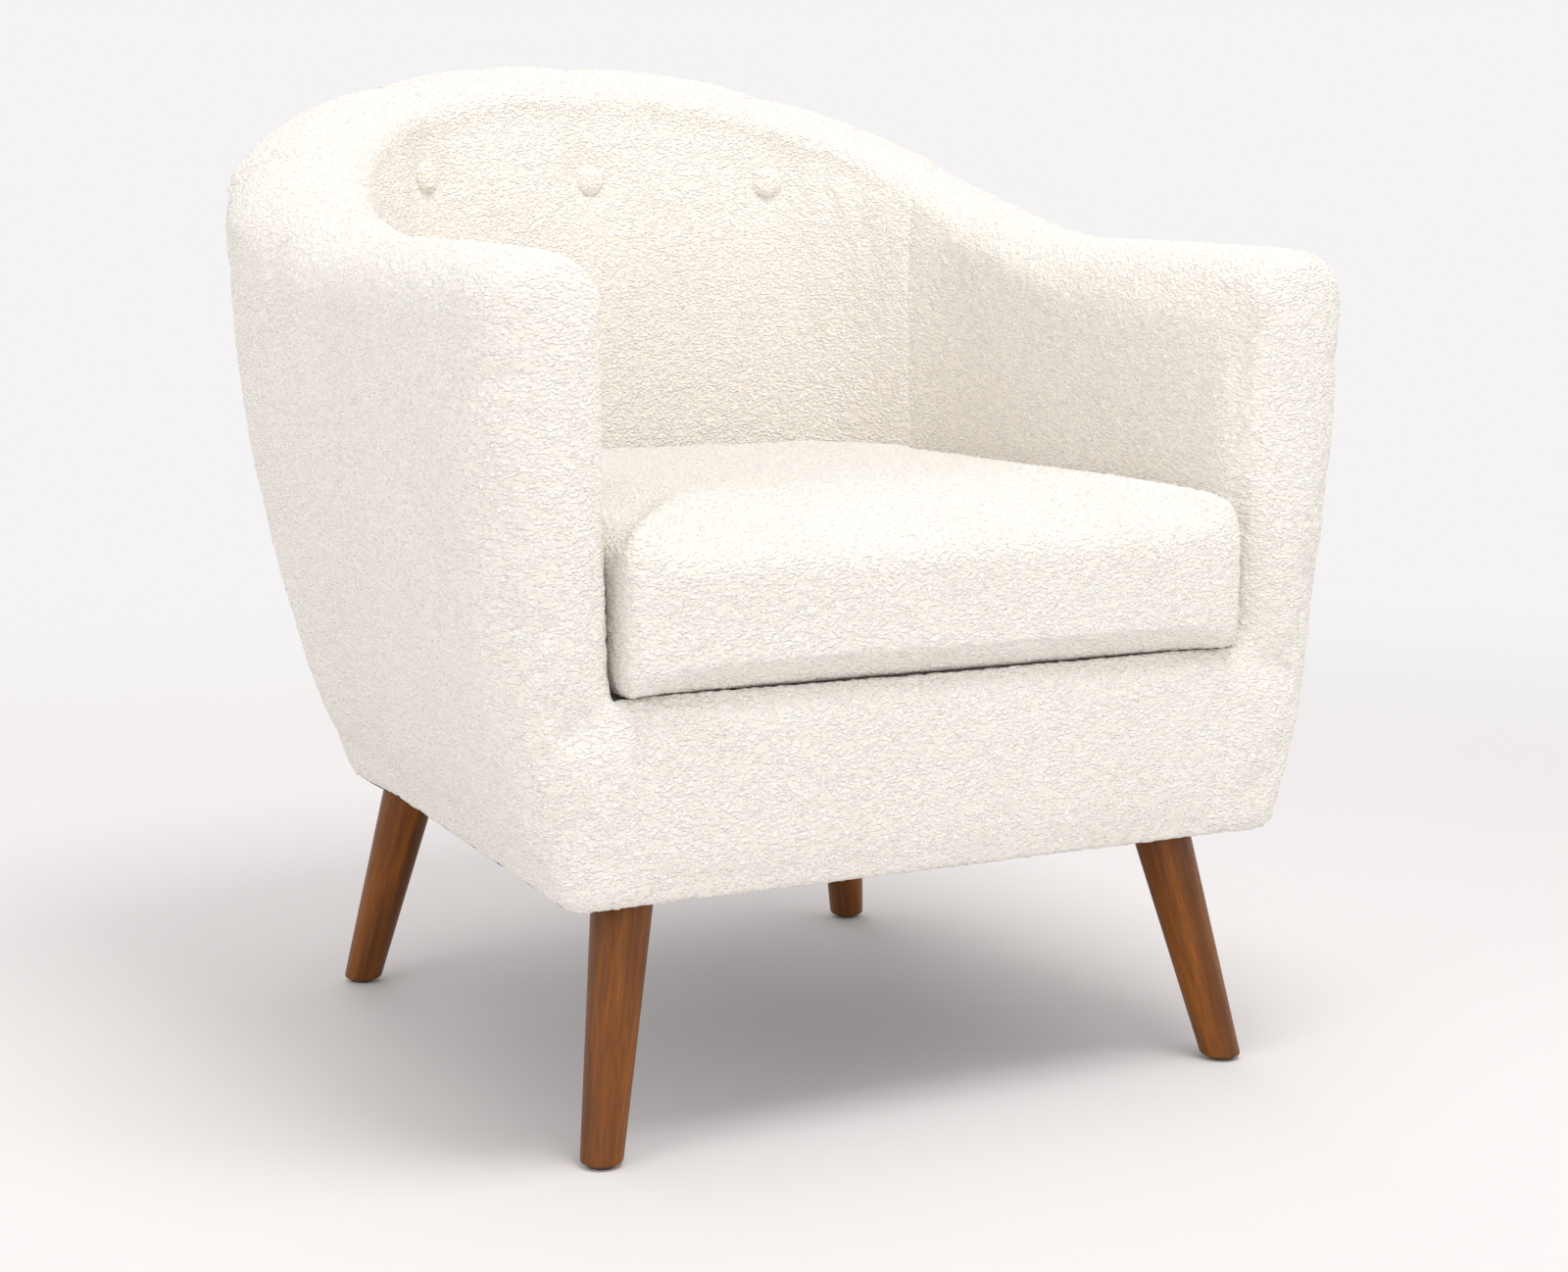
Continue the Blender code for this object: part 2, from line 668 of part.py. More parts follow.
# ---------------------------------------------------------------- legs

def legs():
    """Name, foot centre on the floor and axis direction of each leg."""
    found = []
    for place, half, setback, splay in (
            ("front", BASE_HALF_WIDTH_FRONT - FRONT_FOOT_INSET, FRONT_FOOT_SETBACK, FRONT_LEG_SPLAY),
            ("rear", BASE_HALF_WIDTH_REAR - REAR_FOOT_INSET, BODY_DEPTH - REAR_FOOT_FORWARD,
             REAR_LEG_SPLAY)):
        sideways, lengthways = (math.tan(math.radians(angle)) for angle in splay)
        for side, word in ((-1, "left"), (1, "right")):
            foot = Vector((side * half, FRONT_Y + setback, 0.0))
            direction = Vector((-side * sideways, lengthways, 1.0))
            found.append((f"{place}_{word}", foot, direction))
    return found


def leg_frame(foot, direction):
    """Local Z runs up the leg's axis from the floor."""
    turn = direction.normalized().to_track_quat("Z", "Y").to_matrix().to_4x4()
    return Matrix.Translation(foot) @ turn


def make_leg(name, timber, frame, direction):
    """A turned, tapered leg cut level at both ends."""
    top = FRAME_Z - GAP
    stretch = direction.length
    spare = 0.02
    length = top * stretch
    growth = (LEG_TOP_RADIUS - LEG_FOOT_RADIUS) / length
    bm = bmesh.new()
    low_radius = LEG_FOOT_RADIUS - growth * spare
    high_radius = LEG_TOP_RADIUS + growth * spare
    bmesh.ops.create_cone(bm, cap_ends=True, segments=24, radius1=low_radius, radius2=high_radius,
                          depth=length + 2 * spare)
    bmesh.ops.transform(bm, matrix=frame @ Matrix.Translation((0, 0, length / 2)), verts=bm.verts)
    for height, normal in ((GLIDE_THICKNESS + GAP, (0, 0, -1)), (top, (0, 0, 1))):
        whole = list(bm.verts) + list(bm.edges) + list(bm.faces)
        made = bmesh.ops.bisect_plane(bm, geom=whole, plane_co=(0, 0, height), plane_no=normal,
                                      clear_outer=True)
        edges = [item for item in made["geom_cut"] if isinstance(item, bmesh.types.BMEdge)]
        bmesh.ops.contextual_create(bm, geom=edges)
    return add_object(f"leg_{name}", bm, timber)


def make_legs(walnut, steel, nylon, front_cleat, rear_cleat):
    """Four legs with their hanger bolts and nail-on glides."""
    for name, foot, direction in legs():
        frame = leg_frame(foot, direction)
        stretch = direction.length
        leg = make_leg(name, walnut, frame, direction)
        top = (FRAME_Z - GAP) * stretch
        low, high = top - BOLT_IN_LEG, top + BOLT_IN_CLEAT
        turned(f"hanger_bolt_{name}", steel, [(BOLT_RADIUS, low), (BOLT_RADIUS, high)], 12, frame)
        hole = turned(f"cutter_bolt_{name}", steel,
                      [(BOLT_RADIUS + BOLT_CLEARANCE, low - BOLT_CLEARANCE),
                       (BOLT_RADIUS + BOLT_CLEARANCE, high + BOLT_CLEARANCE)], 12, frame)
        cut(leg, hole)
        cut(front_cleat if name.startswith("front") else rear_cleat, hole)
        pad = GLIDE_THICKNESS
        centre = Matrix.Translation(foot + direction * pad / 2 - Vector((0, 0, pad / 2)))
        turned(f"foot_glide_{name}", nylon,
               [(GLIDE_RADIUS * 0.92, 0.0), (GLIDE_RADIUS, pad * 0.3), (GLIDE_RADIUS, pad)], 16, centre)


# ---------------------------------------------------------------- loose cushion

def cushion_outline(inset, z):
    """Closed outline that fits the seat well, with a straight back stretch for the zip."""
    reach = CUSHION_CLEARANCE + inset
    front_y = FRONT_Y - CUSHION_PROUD + inset
    half = SEAT_HALF_WIDTH - CUSHION_CLEARANCE
    radius = CUSHION_CORNER - inset
    centre_x = half - CUSHION_CORNER
    centre_y = FRONT_Y - CUSHION_PROUD + CUSHION_CORNER
    back_y = FRONT_Y + SEAT_DEPTH - CUSHION_CLEARANCE - CUSHION_FLAT_BACK - inset
    steps = 6
    right = [Vector((0.0, front_y))]
    for i in range(steps + 1):
        angle = -math.pi / 2 + math.pi / 2 * i / steps
        right.append(Vector((centre_x + radius * math.cos(angle), centre_y + radius * math.sin(angle))))
    start = station_at(centre_y + CUSHION_CORNER / 2, SEAT_STRAIGHT)
    curve_steps = 22
    for i in range(curve_steps):
        s = mix(start, 0.0, i / curve_steps)
        flat = inner_plan(s, DECK_Z) + toward_seat(inner_plan, s, DECK_Z) * reach
        right.append(Vector((flat.x, min(flat.y, back_y))))
    right.append(Vector((0.0, back_y)))
    left = [Vector((-p.x, p.y)) for p in right[-2:0:-1]]
    return [(p.x, p.y, z) for p in right + left]


def cushion_form(name, finish, inset):
    """The cushion's box with rounded upper and lower edges, shrunk all round by inset."""
    low = CUSHION_Z + inset
    high = CUSHION_Z + CUSHION_THICKNESS - inset
    steps = 3
    rings = []
    for i in range(steps + 1):
        angle = math.pi / 2 * i / steps
        drop = CUSHION_EDGE * (1 - math.sin(angle))
        rings.append(cushion_outline(inset + drop, low + CUSHION_EDGE * (1 - math.cos(angle))))
    for i in range(steps + 1):
        angle = math.pi / 2 * i / steps
        drop = CUSHION_EDGE * (1 - math.cos(angle))
        rings.append(cushion_outline(inset + drop, high - CUSHION_EDGE * (1 - math.sin(angle))))
    return loft(name, finish, rings)


def make_cushion(fabric, foam, zip_tape, brass):
    """Zipped cover, foam core, zip tape and its slider."""
    cover = cushion_form("cushion_cover", fabric, 0.0)
    cut(cover, cushion_form("cutter_cushion_hollow", fabric, COVER_CLOTH))
    cushion_form("cushion_foam_core", foam, COVER_CLOTH + GAP)
    back_y = FRONT_Y + SEAT_DEPTH - CUSHION_CLEARANCE - CUSHION_FLAT_BACK
    middle = CUSHION_Z + CUSHION_THICKNESS / 2
    slot = box("cutter_zip_slot", fabric,
               (-ZIP_HALF_LENGTH, back_y - 2 * COVER_CLOTH + 0.001, middle - ZIP_HALF_HEIGHT),
               (ZIP_HALF_LENGTH, back_y + COVER_CLOTH, middle + ZIP_HALF_HEIGHT))
    cut(cover, slot)
    tape_end = ZIP_HALF_LENGTH - GAP
    tape_edge = ZIP_HALF_HEIGHT - GAP
    box("cushion_zip_tape", zip_tape, (-tape_end, back_y - COVER_CLOTH + GAP, middle - tape_edge),
        (tape_end, back_y, middle + tape_edge))
    start = -tape_end
    box("cushion_zip_slider", brass, (start, back_y + GAP, middle - SLIDER_HEIGHT / 2),
        (start + SLIDER_LENGTH, back_y + GAP + SLIDER_THICKNESS, middle + SLIDER_HEIGHT / 2), 0.0006)


# ---------------------------------------------------------------- assembly

def clear_scene():
    """Remove whatever the open file holds."""
    for item in list(bpy.data.objects):
        bpy.data.objects.remove(item, do_unlink=True)


def main():
    """Build every piece."""
    clear_scene()
    fabric = material("ivory_boucle_fabric", (0.86, 0.83, 0.77), 0.95)
    backing = material("cream_polyester_backing", (0.62, 0.58, 0.50), 0.95)
    timber = material("birch_frame_timber", (0.66, 0.50, 0.32), 0.7)
    walnut = material("walnut_stained_wood", (0.20, 0.085, 0.032), 0.4)
    steel = material("zinc_plated_steel", (0.60, 0.60, 0.60), 0.35, 1.0)
    nylon = material("brown_nylon", (0.10, 0.06, 0.04), 0.5)
    foam = material("polyurethane_foam", (0.80, 0.74, 0.55), 0.9)
    web = material("elastic_webbing", (0.10, 0.09, 0.08), 0.85)
    brass = material("nickel_zip_metal", (0.65, 0.63, 0.58), 0.3, 1.0)
    make_upholstery(fabric, backing)
    make_webbing(web)
    front_cleat, rear_cleat, rear = make_frame(timber)
    make_springs(steel, rear)
    make_legs(walnut, steel, nylon, front_cleat, rear_cleat)
    make_cushion(fabric, foam, web, brass)


main()
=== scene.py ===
"""An upholstered barrel-back armchair in looped ivory boucle, on four splayed walnut legs."""
import math

import bmesh
import bpy
import numpy as np
from mathutils import Matrix, Vector, kdtree, noise


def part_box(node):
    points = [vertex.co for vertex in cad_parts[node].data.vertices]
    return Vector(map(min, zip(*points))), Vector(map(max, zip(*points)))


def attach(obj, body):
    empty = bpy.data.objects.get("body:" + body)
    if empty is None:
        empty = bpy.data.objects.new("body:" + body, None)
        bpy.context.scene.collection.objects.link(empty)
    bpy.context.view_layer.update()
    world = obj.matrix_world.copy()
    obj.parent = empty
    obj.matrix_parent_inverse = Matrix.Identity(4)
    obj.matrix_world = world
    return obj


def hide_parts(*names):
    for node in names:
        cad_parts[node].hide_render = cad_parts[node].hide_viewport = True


bl_info = {
    "name": "Barrel-back armchair",
    "version": (1, 0, 0),
    "blender": (4, 5, 0),
    "location": "3D View > Sidebar > Armchair",
    "description": "Builds the padding, cushion, legs and studio of an upholstered armchair",
    "category": "Object",
}

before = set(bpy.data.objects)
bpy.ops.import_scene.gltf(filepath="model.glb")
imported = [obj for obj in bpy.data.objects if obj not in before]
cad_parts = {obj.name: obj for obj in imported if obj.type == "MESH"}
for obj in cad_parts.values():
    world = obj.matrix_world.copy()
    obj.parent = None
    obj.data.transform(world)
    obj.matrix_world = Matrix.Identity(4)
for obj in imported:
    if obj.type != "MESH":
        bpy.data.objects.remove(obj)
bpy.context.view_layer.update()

# ---------------------------------------------------------------- form of the wall

FRONT_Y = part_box("arm_front_panel_left")[0].y
BACK_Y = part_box("inside_back_pad")[1].y
LEG_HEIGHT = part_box("outside_arm_panel_left")[0].z
DECK_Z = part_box("front_rail_cover")[1].z
RAIL_HALF_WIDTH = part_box("front_rail_cover")[1].x
CUSHION_LOW, CUSHION_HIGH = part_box("cushion_cover")

ARM_HALF_WIDTH_FRONT = 0.370
ARM_HALF_WIDTH_REAR = 0.384
BASE_HALF_WIDTH_FRONT = 0.3075
BASE_HALF_WIDTH_REAR = 0.264
OUTER_STRAIGHT = 0.437
BACK_RAKE = 0.087
PLAN_POWER_TOP = 2.42
PLAN_POWER_BASE = 4.9
PLAN_POWER_RISE = 0.417
STRAIGHT_SHARE = 0.45
ARM_RISE_FRONT = 0.461
ARM_RISE_REAR = 0.4855
BACK_RISE = 0.607
CREST_START = 0.2935
CREST_POWER = 0.871
ROLL_HEIGHT = 0.040
PAD_DROP = 0.090
TAPER_FRONT = (0.333, 2.08)
TAPER_REAR = (0.563, 1.65)
TAPER_BACK = (0.577, 2.87)
SEAT_HALF_WIDTH = 0.268
SEAT_DEPTH = 0.545
SEAT_STRAIGHT = 0.378
SEAT_PLAN_POWER = 2.6
BACK_LEAN = 0.155
BACK_SEAM = 0.425
OUTSIDE_SEAM = 0.400
BUTTON_HEIGHT = 0.690
BUTTON_SPACING = 0.165


def mix(low, high, share):
    return low + (high - low) * share


def smooth(value):
    """0 to 1 with level ends."""
    value = np.clip(value, 0.0, 1.0)
    return value * value * (3 - 2 * value)


def taper(z, rise, power):
    return np.clip((LEG_HEIGHT + rise - z) / rise, 0.0, 1.0) ** power


def crest_z(s):
    """Height of the padded top edge at station s, from -1 and 1 at the arm fronts to 0 mid-back."""
    u = 1 - np.abs(s)
    climb = smooth(np.clip((u - CREST_START) / (1 - CREST_START), 0.0, 1.0) ** CREST_POWER)
    arm = mix(ARM_RISE_FRONT, ARM_RISE_REAR, u)
    return LEG_HEIGHT + arm + (BACK_RISE - ARM_RISE_REAR) * climb


def plan_point(s, half_front, half_rear, straight, back_y, power):
    """A point on a U-shaped outline: two near-straight arms joined by a superellipse."""
    u = 1 - np.abs(s)
    along = np.minimum(u / STRAIGHT_SHARE, 1.0)
    angle = np.clip((u - STRAIGHT_SHARE) / (1 - STRAIGHT_SHARE), 0.0, 1.0) * math.pi / 2
    bend_x = half_rear * np.clip(np.cos(angle), 0.0, 1.0) ** (2 / power)
    bend_y = mix(FRONT_Y + straight, back_y, np.sin(angle) ** (2 / power))
    x = np.where(u < STRAIGHT_SHARE, mix(half_front, half_rear, along), bend_x)
    y = np.where(u < STRAIGHT_SHARE, FRONT_Y + straight * along, bend_y)
    return np.stack([np.where(s < 0, -x, x), y], -1)


def outer_plan(s, z):
    """The outside of the wall at height z."""
    front = mix(ARM_HALF_WIDTH_FRONT, BASE_HALF_WIDTH_FRONT, taper(z, *TAPER_FRONT))
    rear = mix(ARM_HALF_WIDTH_REAR, BASE_HALF_WIDTH_REAR, taper(z, *TAPER_REAR))
    back_y = BACK_Y - BACK_RAKE * taper(z, *TAPER_BACK)
    power = mix(PLAN_POWER_BASE, PLAN_POWER_TOP, np.clip((z - LEG_HEIGHT) / PLAN_POWER_RISE, 0.0, 1.0))
    return plan_point(s, front, rear, OUTER_STRAIGHT, back_y, power)


def inner_plan(s, z):
    """The seat side of the wall at height z; the inside back leans away as it rises."""
    back_y = FRONT_Y + SEAT_DEPTH + (z - DECK_Z) * BACK_LEAN
    return plan_point(s, SEAT_HALF_WIDTH, SEAT_HALF_WIDTH, SEAT_STRAIGHT, back_y, SEAT_PLAN_POWER)


def wall_point(plan, s, z, depth, inward):
    """Points at a depth inside the wall, from its outside (inward 1) or its seat side (-1)."""
    s, z, depth = np.broadcast_arrays(*(np.asarray(v, float) for v in (s, z, depth)))
    step = 1e-4
    run = plan(np.minimum(s + step, 1.0), z) - plan(np.maximum(s - step, -1.0), z)
    run /= np.linalg.norm(run, axis=-1, keepdims=True)
    square = np.stack([run[..., 1], -run[..., 0]], -1)
    flat = plan(s, z) + square * (inward * depth)[..., None]
    return np.concatenate([flat, z[..., None]], -1)


def outside(s, z, depth=0.0):
    return wall_point(outer_plan, s, z, depth, 1)


def inside(s, z, depth=0.0):
    return wall_point(inner_plan, s, z, depth, -1)


def roll(outer_s, inner_s, turn, depth):
    """Points over the padded top edge; turn runs 0 at the outside to 1 at the seat side."""
    top = crest_z(mix(outer_s, inner_s, turn))
    start = outside(outer_s, top - ROLL_HEIGHT)
    end = inside(inner_s, top - ROLL_HEIGHT)
    across = end - start
    width = np.linalg.norm(across, axis=-1, keepdims=True)
    half = width / 2 - np.broadcast_to(depth, top.shape)[..., None]
    angle = (turn * math.pi)[..., None]
    point = (start + end) / 2 - across / width * half * np.cos(angle)
    point[..., 2] += (ROLL_HEIGHT - depth) * np.sin(angle[..., 0])
    return point


# ---------------------------------------------------------------- mesh tools

def add_object(name, vertices, faces):
    """A mesh object with smooth shading and its faces turned outward."""
    mesh = bpy.data.meshes.new(name)
    mesh.from_pydata([tuple(v) for v in vertices], [], faces)
    bm = bmesh.new()
    bm.from_mesh(mesh)
    bmesh.ops.recalc_face_normals(bm, faces=bm.faces)
    bm.to_mesh(mesh)
    bm.free()
    mesh.shade_smooth()
    obj = bpy.data.objects.new(name, mesh)
    bpy.context.scene.collection.objects.link(obj)
    return obj


def skin_rings(name, rings):
    """A closed solid through rings of equal length, capped at both ends."""
    rings = np.asarray(rings)
    count, size = rings.shape[:2]
    faces = []
    for i in range(count - 1):
        for j in range(size):
            k = (j + 1) % size
            faces.append((i * size + j, i * size + k, (i + 1) * size + k, (i + 1) * size + j))
    faces.append(tuple(range(size)))
    faces.append(tuple((count - 1) * size + j for j in range(size)))
    return add_object(name, rings.reshape(-1, 3), faces)


def coordinates(mesh):
    points = np.empty(len(mesh.vertices) * 3, np.float32)
    mesh.vertices.foreach_get("co", points)
    return points.reshape(-1, 3).astype(float)


def normals(mesh):
    found = np.empty(len(mesh.vertices) * 3, np.float32)
    mesh.vertex_normals.foreach_get("vector", found)
    return found.reshape(-1, 3).astype(float)


def set_coordinates(mesh, points):
    mesh.vertices.foreach_set("co", np.asarray(points, np.float32).reshape(-1))
    mesh.update()


def bake_modifiers(obj):
    """The modifiers' result becomes the object's mesh."""
    evaluated = obj.evaluated_get(bpy.context.evaluated_depsgraph_get())
    mesh = bpy.data.meshes.new_from_object(evaluated)
    obj.modifiers.clear()
    old, obj.data = obj.data, mesh
    bpy.data.meshes.remove(old)
    mesh.name = obj.name
    mesh.shade_smooth()


def add_easing(obj, passes):
    """Smoothing passes that round corners and settle small wrinkles."""
    ease = obj.modifiers.new("ease", "SMOOTH")
    ease.factor = 0.5
    ease.iterations = passes


def remesh(obj, voxel, passes):
    """An even quad skin over the closed solid, its corners eased by a few smoothing passes."""
    remesher = obj.modifiers.new("even skin", "REMESH")
    remesher.mode = "VOXEL"
    remesher.voxel_size = voxel
    add_easing(obj, passes)
    bake_modifiers(obj)


def fill(obj, pressure, cap, hold, frames=20):
    """Swells a closed skin as wadding does, by cloth under pressure, then limits how far it moved.

    Hold is 1 at the points that are fixed to the frame, and 0 at those that are free."""
    rest = coordinates(obj.data)
    cloth = obj.modifiers.new("filling", "CLOTH")
    settings = cloth.settings
    settings.quality = 4
    settings.mass = 0.3
    settings.use_pressure = True
    settings.uniform_pressure_force = pressure
    settings.tension_stiffness = settings.compression_stiffness = 12
    settings.shear_stiffness = 6
    settings.bending_stiffness = 0.6
    settings.effector_weights.gravity = 0
    cloth.collision_settings.use_collision = False
    group = obj.vertex_groups.new(name="held")
    for index, weight in enumerate(hold):
        if weight > 0.01:
            group.add([index], float(weight), "REPLACE")
    settings.vertex_group_mass = "held"
    scene = bpy.context.scene
    cloth.point_cache.frame_start, cloth.point_cache.frame_end = 1, frames
    for number in range(1, frames + 1):
        scene.frame_set(number)
    evaluated = obj.evaluated_get(bpy.context.evaluated_depsgraph_get())
    moved = coordinates(evaluated.data) - rest
    obj.modifiers.remove(cloth)
    obj.vertex_groups.clear()
    scene.frame_set(1)
    length = np.linalg.norm(moved, axis=1, keepdims=True)
    moved *= cap * np.tanh(length / cap) / np.maximum(length, 1e-9)
    set_coordinates(obj.data, rest + moved)


def subdivide(obj):
    """One level finer, so that the skin can hold the cloth's own relief."""
    finer = obj.modifiers.new("finer", "SUBSURF")
    finer.levels = finer.render_levels = 1
    bake_modifiers(obj)


NUB_PITCH = 0.0042


def nubs(obj, height):
    """Raises the boucle's loops in the mesh, so that its outline is knobbly as well as its face."""
    mesh = obj.data
    points, out = coordinates(mesh), normals(mesh)
    size = 1 / NUB_PITCH
    lift = np.array([noise.noise(Vector(p) * size) + 0.5 * noise.noise(Vector(p) * size * 2.1)
                     for p in points])
    lift = np.clip(lift, -0.6, 0.8) * height
    set_coordinates(mesh, points + out * lift[:, None])


# ---------------------------------------------------------------- materials

def hex_colour(text):
    """Linear RGBA from an sRGB hex colour."""
    values = [int(text[i:i + 2], 16) / 255 for i in (1, 3, 5)]
    return [v / 12.92 if v <= 0.04045 else ((v + 0.055) / 1.055) ** 2.4 for v in values] + [1.0]


def add_node(tree, kind, settings=None, **links):
    """Adds a shader node; a link is a (node, output) pair, and any other value is set on the socket."""
    node = tree.nodes.new(kind)
    for name, value in (settings or {}).items():
        setattr(node, name, value)
    for name, value in links.items():
        key = int(name[1:]) if name[0] == "i" and name[1:].isdigit() else name.replace("_", " ")
        socket = node.inputs[key]
        if isinstance(value, tuple) and hasattr(value[0], "outputs"):
            tree.links.new(value[0].outputs[value[1]], socket)
        else:
            socket.default_value = value
    return node


def new_material(name):
    """An empty material with its output and surface shader."""
    finish = bpy.data.materials.new(name)
    finish.use_nodes = True
    tree = finish.node_tree
    tree.nodes.clear()
    output = tree.nodes.new("ShaderNodeOutputMaterial")
    surface = tree.nodes.new("ShaderNodeBsdfPrincipled")
    tree.links.new(surface.outputs["BSDF"], output.inputs["Surface"])
    return finish, tree, surface


def boucle(light, dark):
    """Looped wool-blend boucle, knitted from curled yarn.

    The loops stand up as soft knobs a few millimetres apart, with painted light on their tops and painted
    warm shade in the hollows between them, and a faint bloom of loose fibre where the cloth turns away."""
    finish, tree, surface = new_material("ivory looped boucle")
    place = add_node(tree, "ShaderNodeTexCoord")
    squat = add_node(tree, "ShaderNodeMapping", Vector=(place, "Object"), Scale=(1.0, 1.0, 1.6))
    drift = add_node(tree, "ShaderNodeTexNoise", Vector=(squat, 0), Scale=1 / 0.006, Detail=2.0)
    curl = add_node(tree, "ShaderNodeVectorMath", {"operation": "MULTIPLY_ADD"},
                    i0=(drift, "Color"), i1=(0.0045,) * 3, i2=(squat, 0))
    loops = add_node(tree, "ShaderNodeTexVoronoi", {"feature": "SMOOTH_F1"},
                     Vector=(curl, 0), Scale=1 / 0.0036, Smoothness=0.3)
    yarn = add_node(tree, "ShaderNodeTexNoise", Vector=(curl, 0), Scale=1 / 0.0013, Detail=2.0)
    dome = add_node(tree, "ShaderNodeMapRange", {"interpolation_type": "SMOOTHSTEP"},
                    Value=(loops, "Distance"), i1=0.0, i2=0.75, i3=1.0, i4=0.0)
    height = add_node(tree, "ShaderNodeMath", {"operation": "MULTIPLY_ADD"},
                      i0=(yarn, "Fac"), i1=0.35, i2=(dome, 0))
    relief = add_node(tree, "ShaderNodeBump", Height=(height, 0), Strength=1.0, Distance=0.0015)
    # painted shade: the base colour darkens from the loops' lit tops into the hollows between them,
    # following the loops' height
    shade = add_node(tree, "ShaderNodeMapRange", Value=(height, 0), i1=0.30, i2=0.95, i3=0.0, i4=1.0)
    patch = add_node(tree, "ShaderNodeTexNoise", Vector=(place, "Object"), Scale=1 / 0.11, Detail=3.0)
    tone = add_node(tree, "ShaderNodeMath", {"operation": "MULTIPLY_ADD"},
                    i0=(patch, "Fac"), i1=0.35, i2=(shade, 0))
    colour = add_node(tree, "ShaderNodeMix", {"data_type": "RGBA"},
                      i0=(tone, 0), i6=dark, i7=light)
    for socket, value in (("Roughness", 0.94), ("IOR", 1.5), ("Specular IOR Level", 0.25),
                          ("Sheen Weight", 0.25), ("Sheen Roughness", 0.55)):
        surface.inputs[socket].default_value = value
    tree.links.new(colour.outputs["Result"], surface.inputs["Base Color"])
    tree.links.new(relief.outputs["Normal"], surface.inputs["Normal"])
    return finish


def walnut(light, dark):
    """Beech turned and stained walnut, under a satin lacquer.

    Long dark pores run down the leg, the stain varies in soft bands, and the lacquer gives a broad
    highlight with a small hard one inside it."""
    finish, tree, surface = new_material("walnut-stained satin beech")
    place = add_node(tree, "ShaderNodeTexCoord")
    along = add_node(tree, "ShaderNodeMapping", Vector=(place, "Object"),
                     Scale=(1 / 0.010, 1 / 0.010, 1 / 0.16))
    band = add_node(tree, "ShaderNodeTexNoise", Vector=(along, 0), Scale=1.0, Detail=4.0, Distortion=0.6)
    fine = add_node(tree, "ShaderNodeMapping", Vector=(place, "Object"),
                    Scale=(1 / 0.0011, 1 / 0.0011, 1 / 0.030))
    pores = add_node(tree, "ShaderNodeTexNoise", Vector=(fine, 0), Scale=1.0, Detail=2.0)
    streak = add_node(tree, "ShaderNodeMapRange", Value=(pores, "Fac"), i1=0.36, i2=0.60, i3=0.45, i4=1.0)
    band_range = add_node(tree, "ShaderNodeMapRange", Value=(band, "Fac"), i1=0.3, i2=0.7)
    amount = add_node(tree, "ShaderNodeMath", {"operation": "MULTIPLY"}, i0=(streak, 0), i1=(band_range, 0))
    colour = add_node(tree, "ShaderNodeMix", {"data_type": "RGBA"}, i0=(amount, 0), i6=dark, i7=light)
    relief = add_node(tree, "ShaderNodeBump", Height=(pores, "Fac"), Strength=0.15, Distance=0.0002)
    gloss = add_node(tree, "ShaderNodeMapRange", Value=(pores, "Fac"), i1=0.3, i2=0.7, i3=0.50, i4=0.40)
    for socket, value in (("IOR", 1.45), ("Specular IOR Level", 0.28),
                          ("Coat Weight", 0.06), ("Coat Roughness", 0.25)):
        surface.inputs[socket].default_value = value
    tree.links.new(colour.outputs["Result"], surface.inputs["Base Color"])
    tree.links.new(gloss.outputs[0], surface.inputs["Roughness"])
    tree.links.new(relief.outputs["Normal"], surface.inputs["Normal"])
    return finish


def woven(name, light, dark, pitch, roughness=0.85):
    """Plain cloth: over-and-under threads give a fine even check of light and shade."""
    finish, tree, surface = new_material(name)
    place = add_node(tree, "ShaderNodeTexCoord")
    waves = [add_node(tree, "ShaderNodeTexWave", {"bands_direction": axis}, Vector=(place, "Object"),
                      Scale=0.314 / pitch, Distortion=0.4) for axis in ("X", "Y", "Z")]
    first = add_node(tree, "ShaderNodeMath", {"operation": "MULTIPLY"},
                     i0=(waves[0], "Fac"), i1=(waves[1], "Fac"))
    both = add_node(tree, "ShaderNodeMath", {"operation": "MAXIMUM"}, i0=(first, 0), i1=(waves[2], "Fac"))
    colour = add_node(tree, "ShaderNodeMix", {"data_type": "RGBA"}, i0=(both, 0), i6=dark, i7=light)
    relief = add_node(tree, "ShaderNodeBump", Height=(both, 0), Strength=0.4, Distance=pitch / 4)
    surface.inputs["Roughness"].default_value = roughness
    tree.links.new(colour.outputs["Result"], surface.inputs["Base Color"])
    tree.links.new(relief.outputs["Normal"], surface.inputs["Normal"])
    return finish


def grained(name, light, dark, grain, stretch=(1, 1, 1), roughness=0.6, metallic=0.0, bump=0.0002):
    """A solid with a natural or made grain, drawn longest along the axis with the least stretch."""
    finish, tree, surface = new_material(name)
    place = add_node(tree, "ShaderNodeTexCoord")
    scaled = add_node(tree, "ShaderNodeMapping", Vector=(place, "Object"),
                      Scale=tuple(k / grain for k in stretch))
    speck = add_node(tree, "ShaderNodeTexNoise", Vector=(scaled, 0), Scale=1.0, Detail=3.0)
    colour = add_node(tree, "ShaderNodeMix", {"data_type": "RGBA"}, i0=(speck, "Fac"), i6=dark, i7=light)
    relief = add_node(tree, "ShaderNodeBump", Height=(speck, "Fac"), Strength=0.4, Distance=bump)
    dull = add_node(tree, "ShaderNodeMapRange", Value=(speck, "Fac"),
                    i3=max(roughness - 0.08, 0.0), i4=roughness + 0.08)
    surface.inputs["Metallic"].default_value = metallic
    tree.links.new(colour.outputs["Result"], surface.inputs["Base Color"])
    tree.links.new(dull.outputs[0], surface.inputs["Roughness"])
    tree.links.new(relief.outputs["Normal"], surface.inputs["Normal"])
    return finish


_finishes = {}


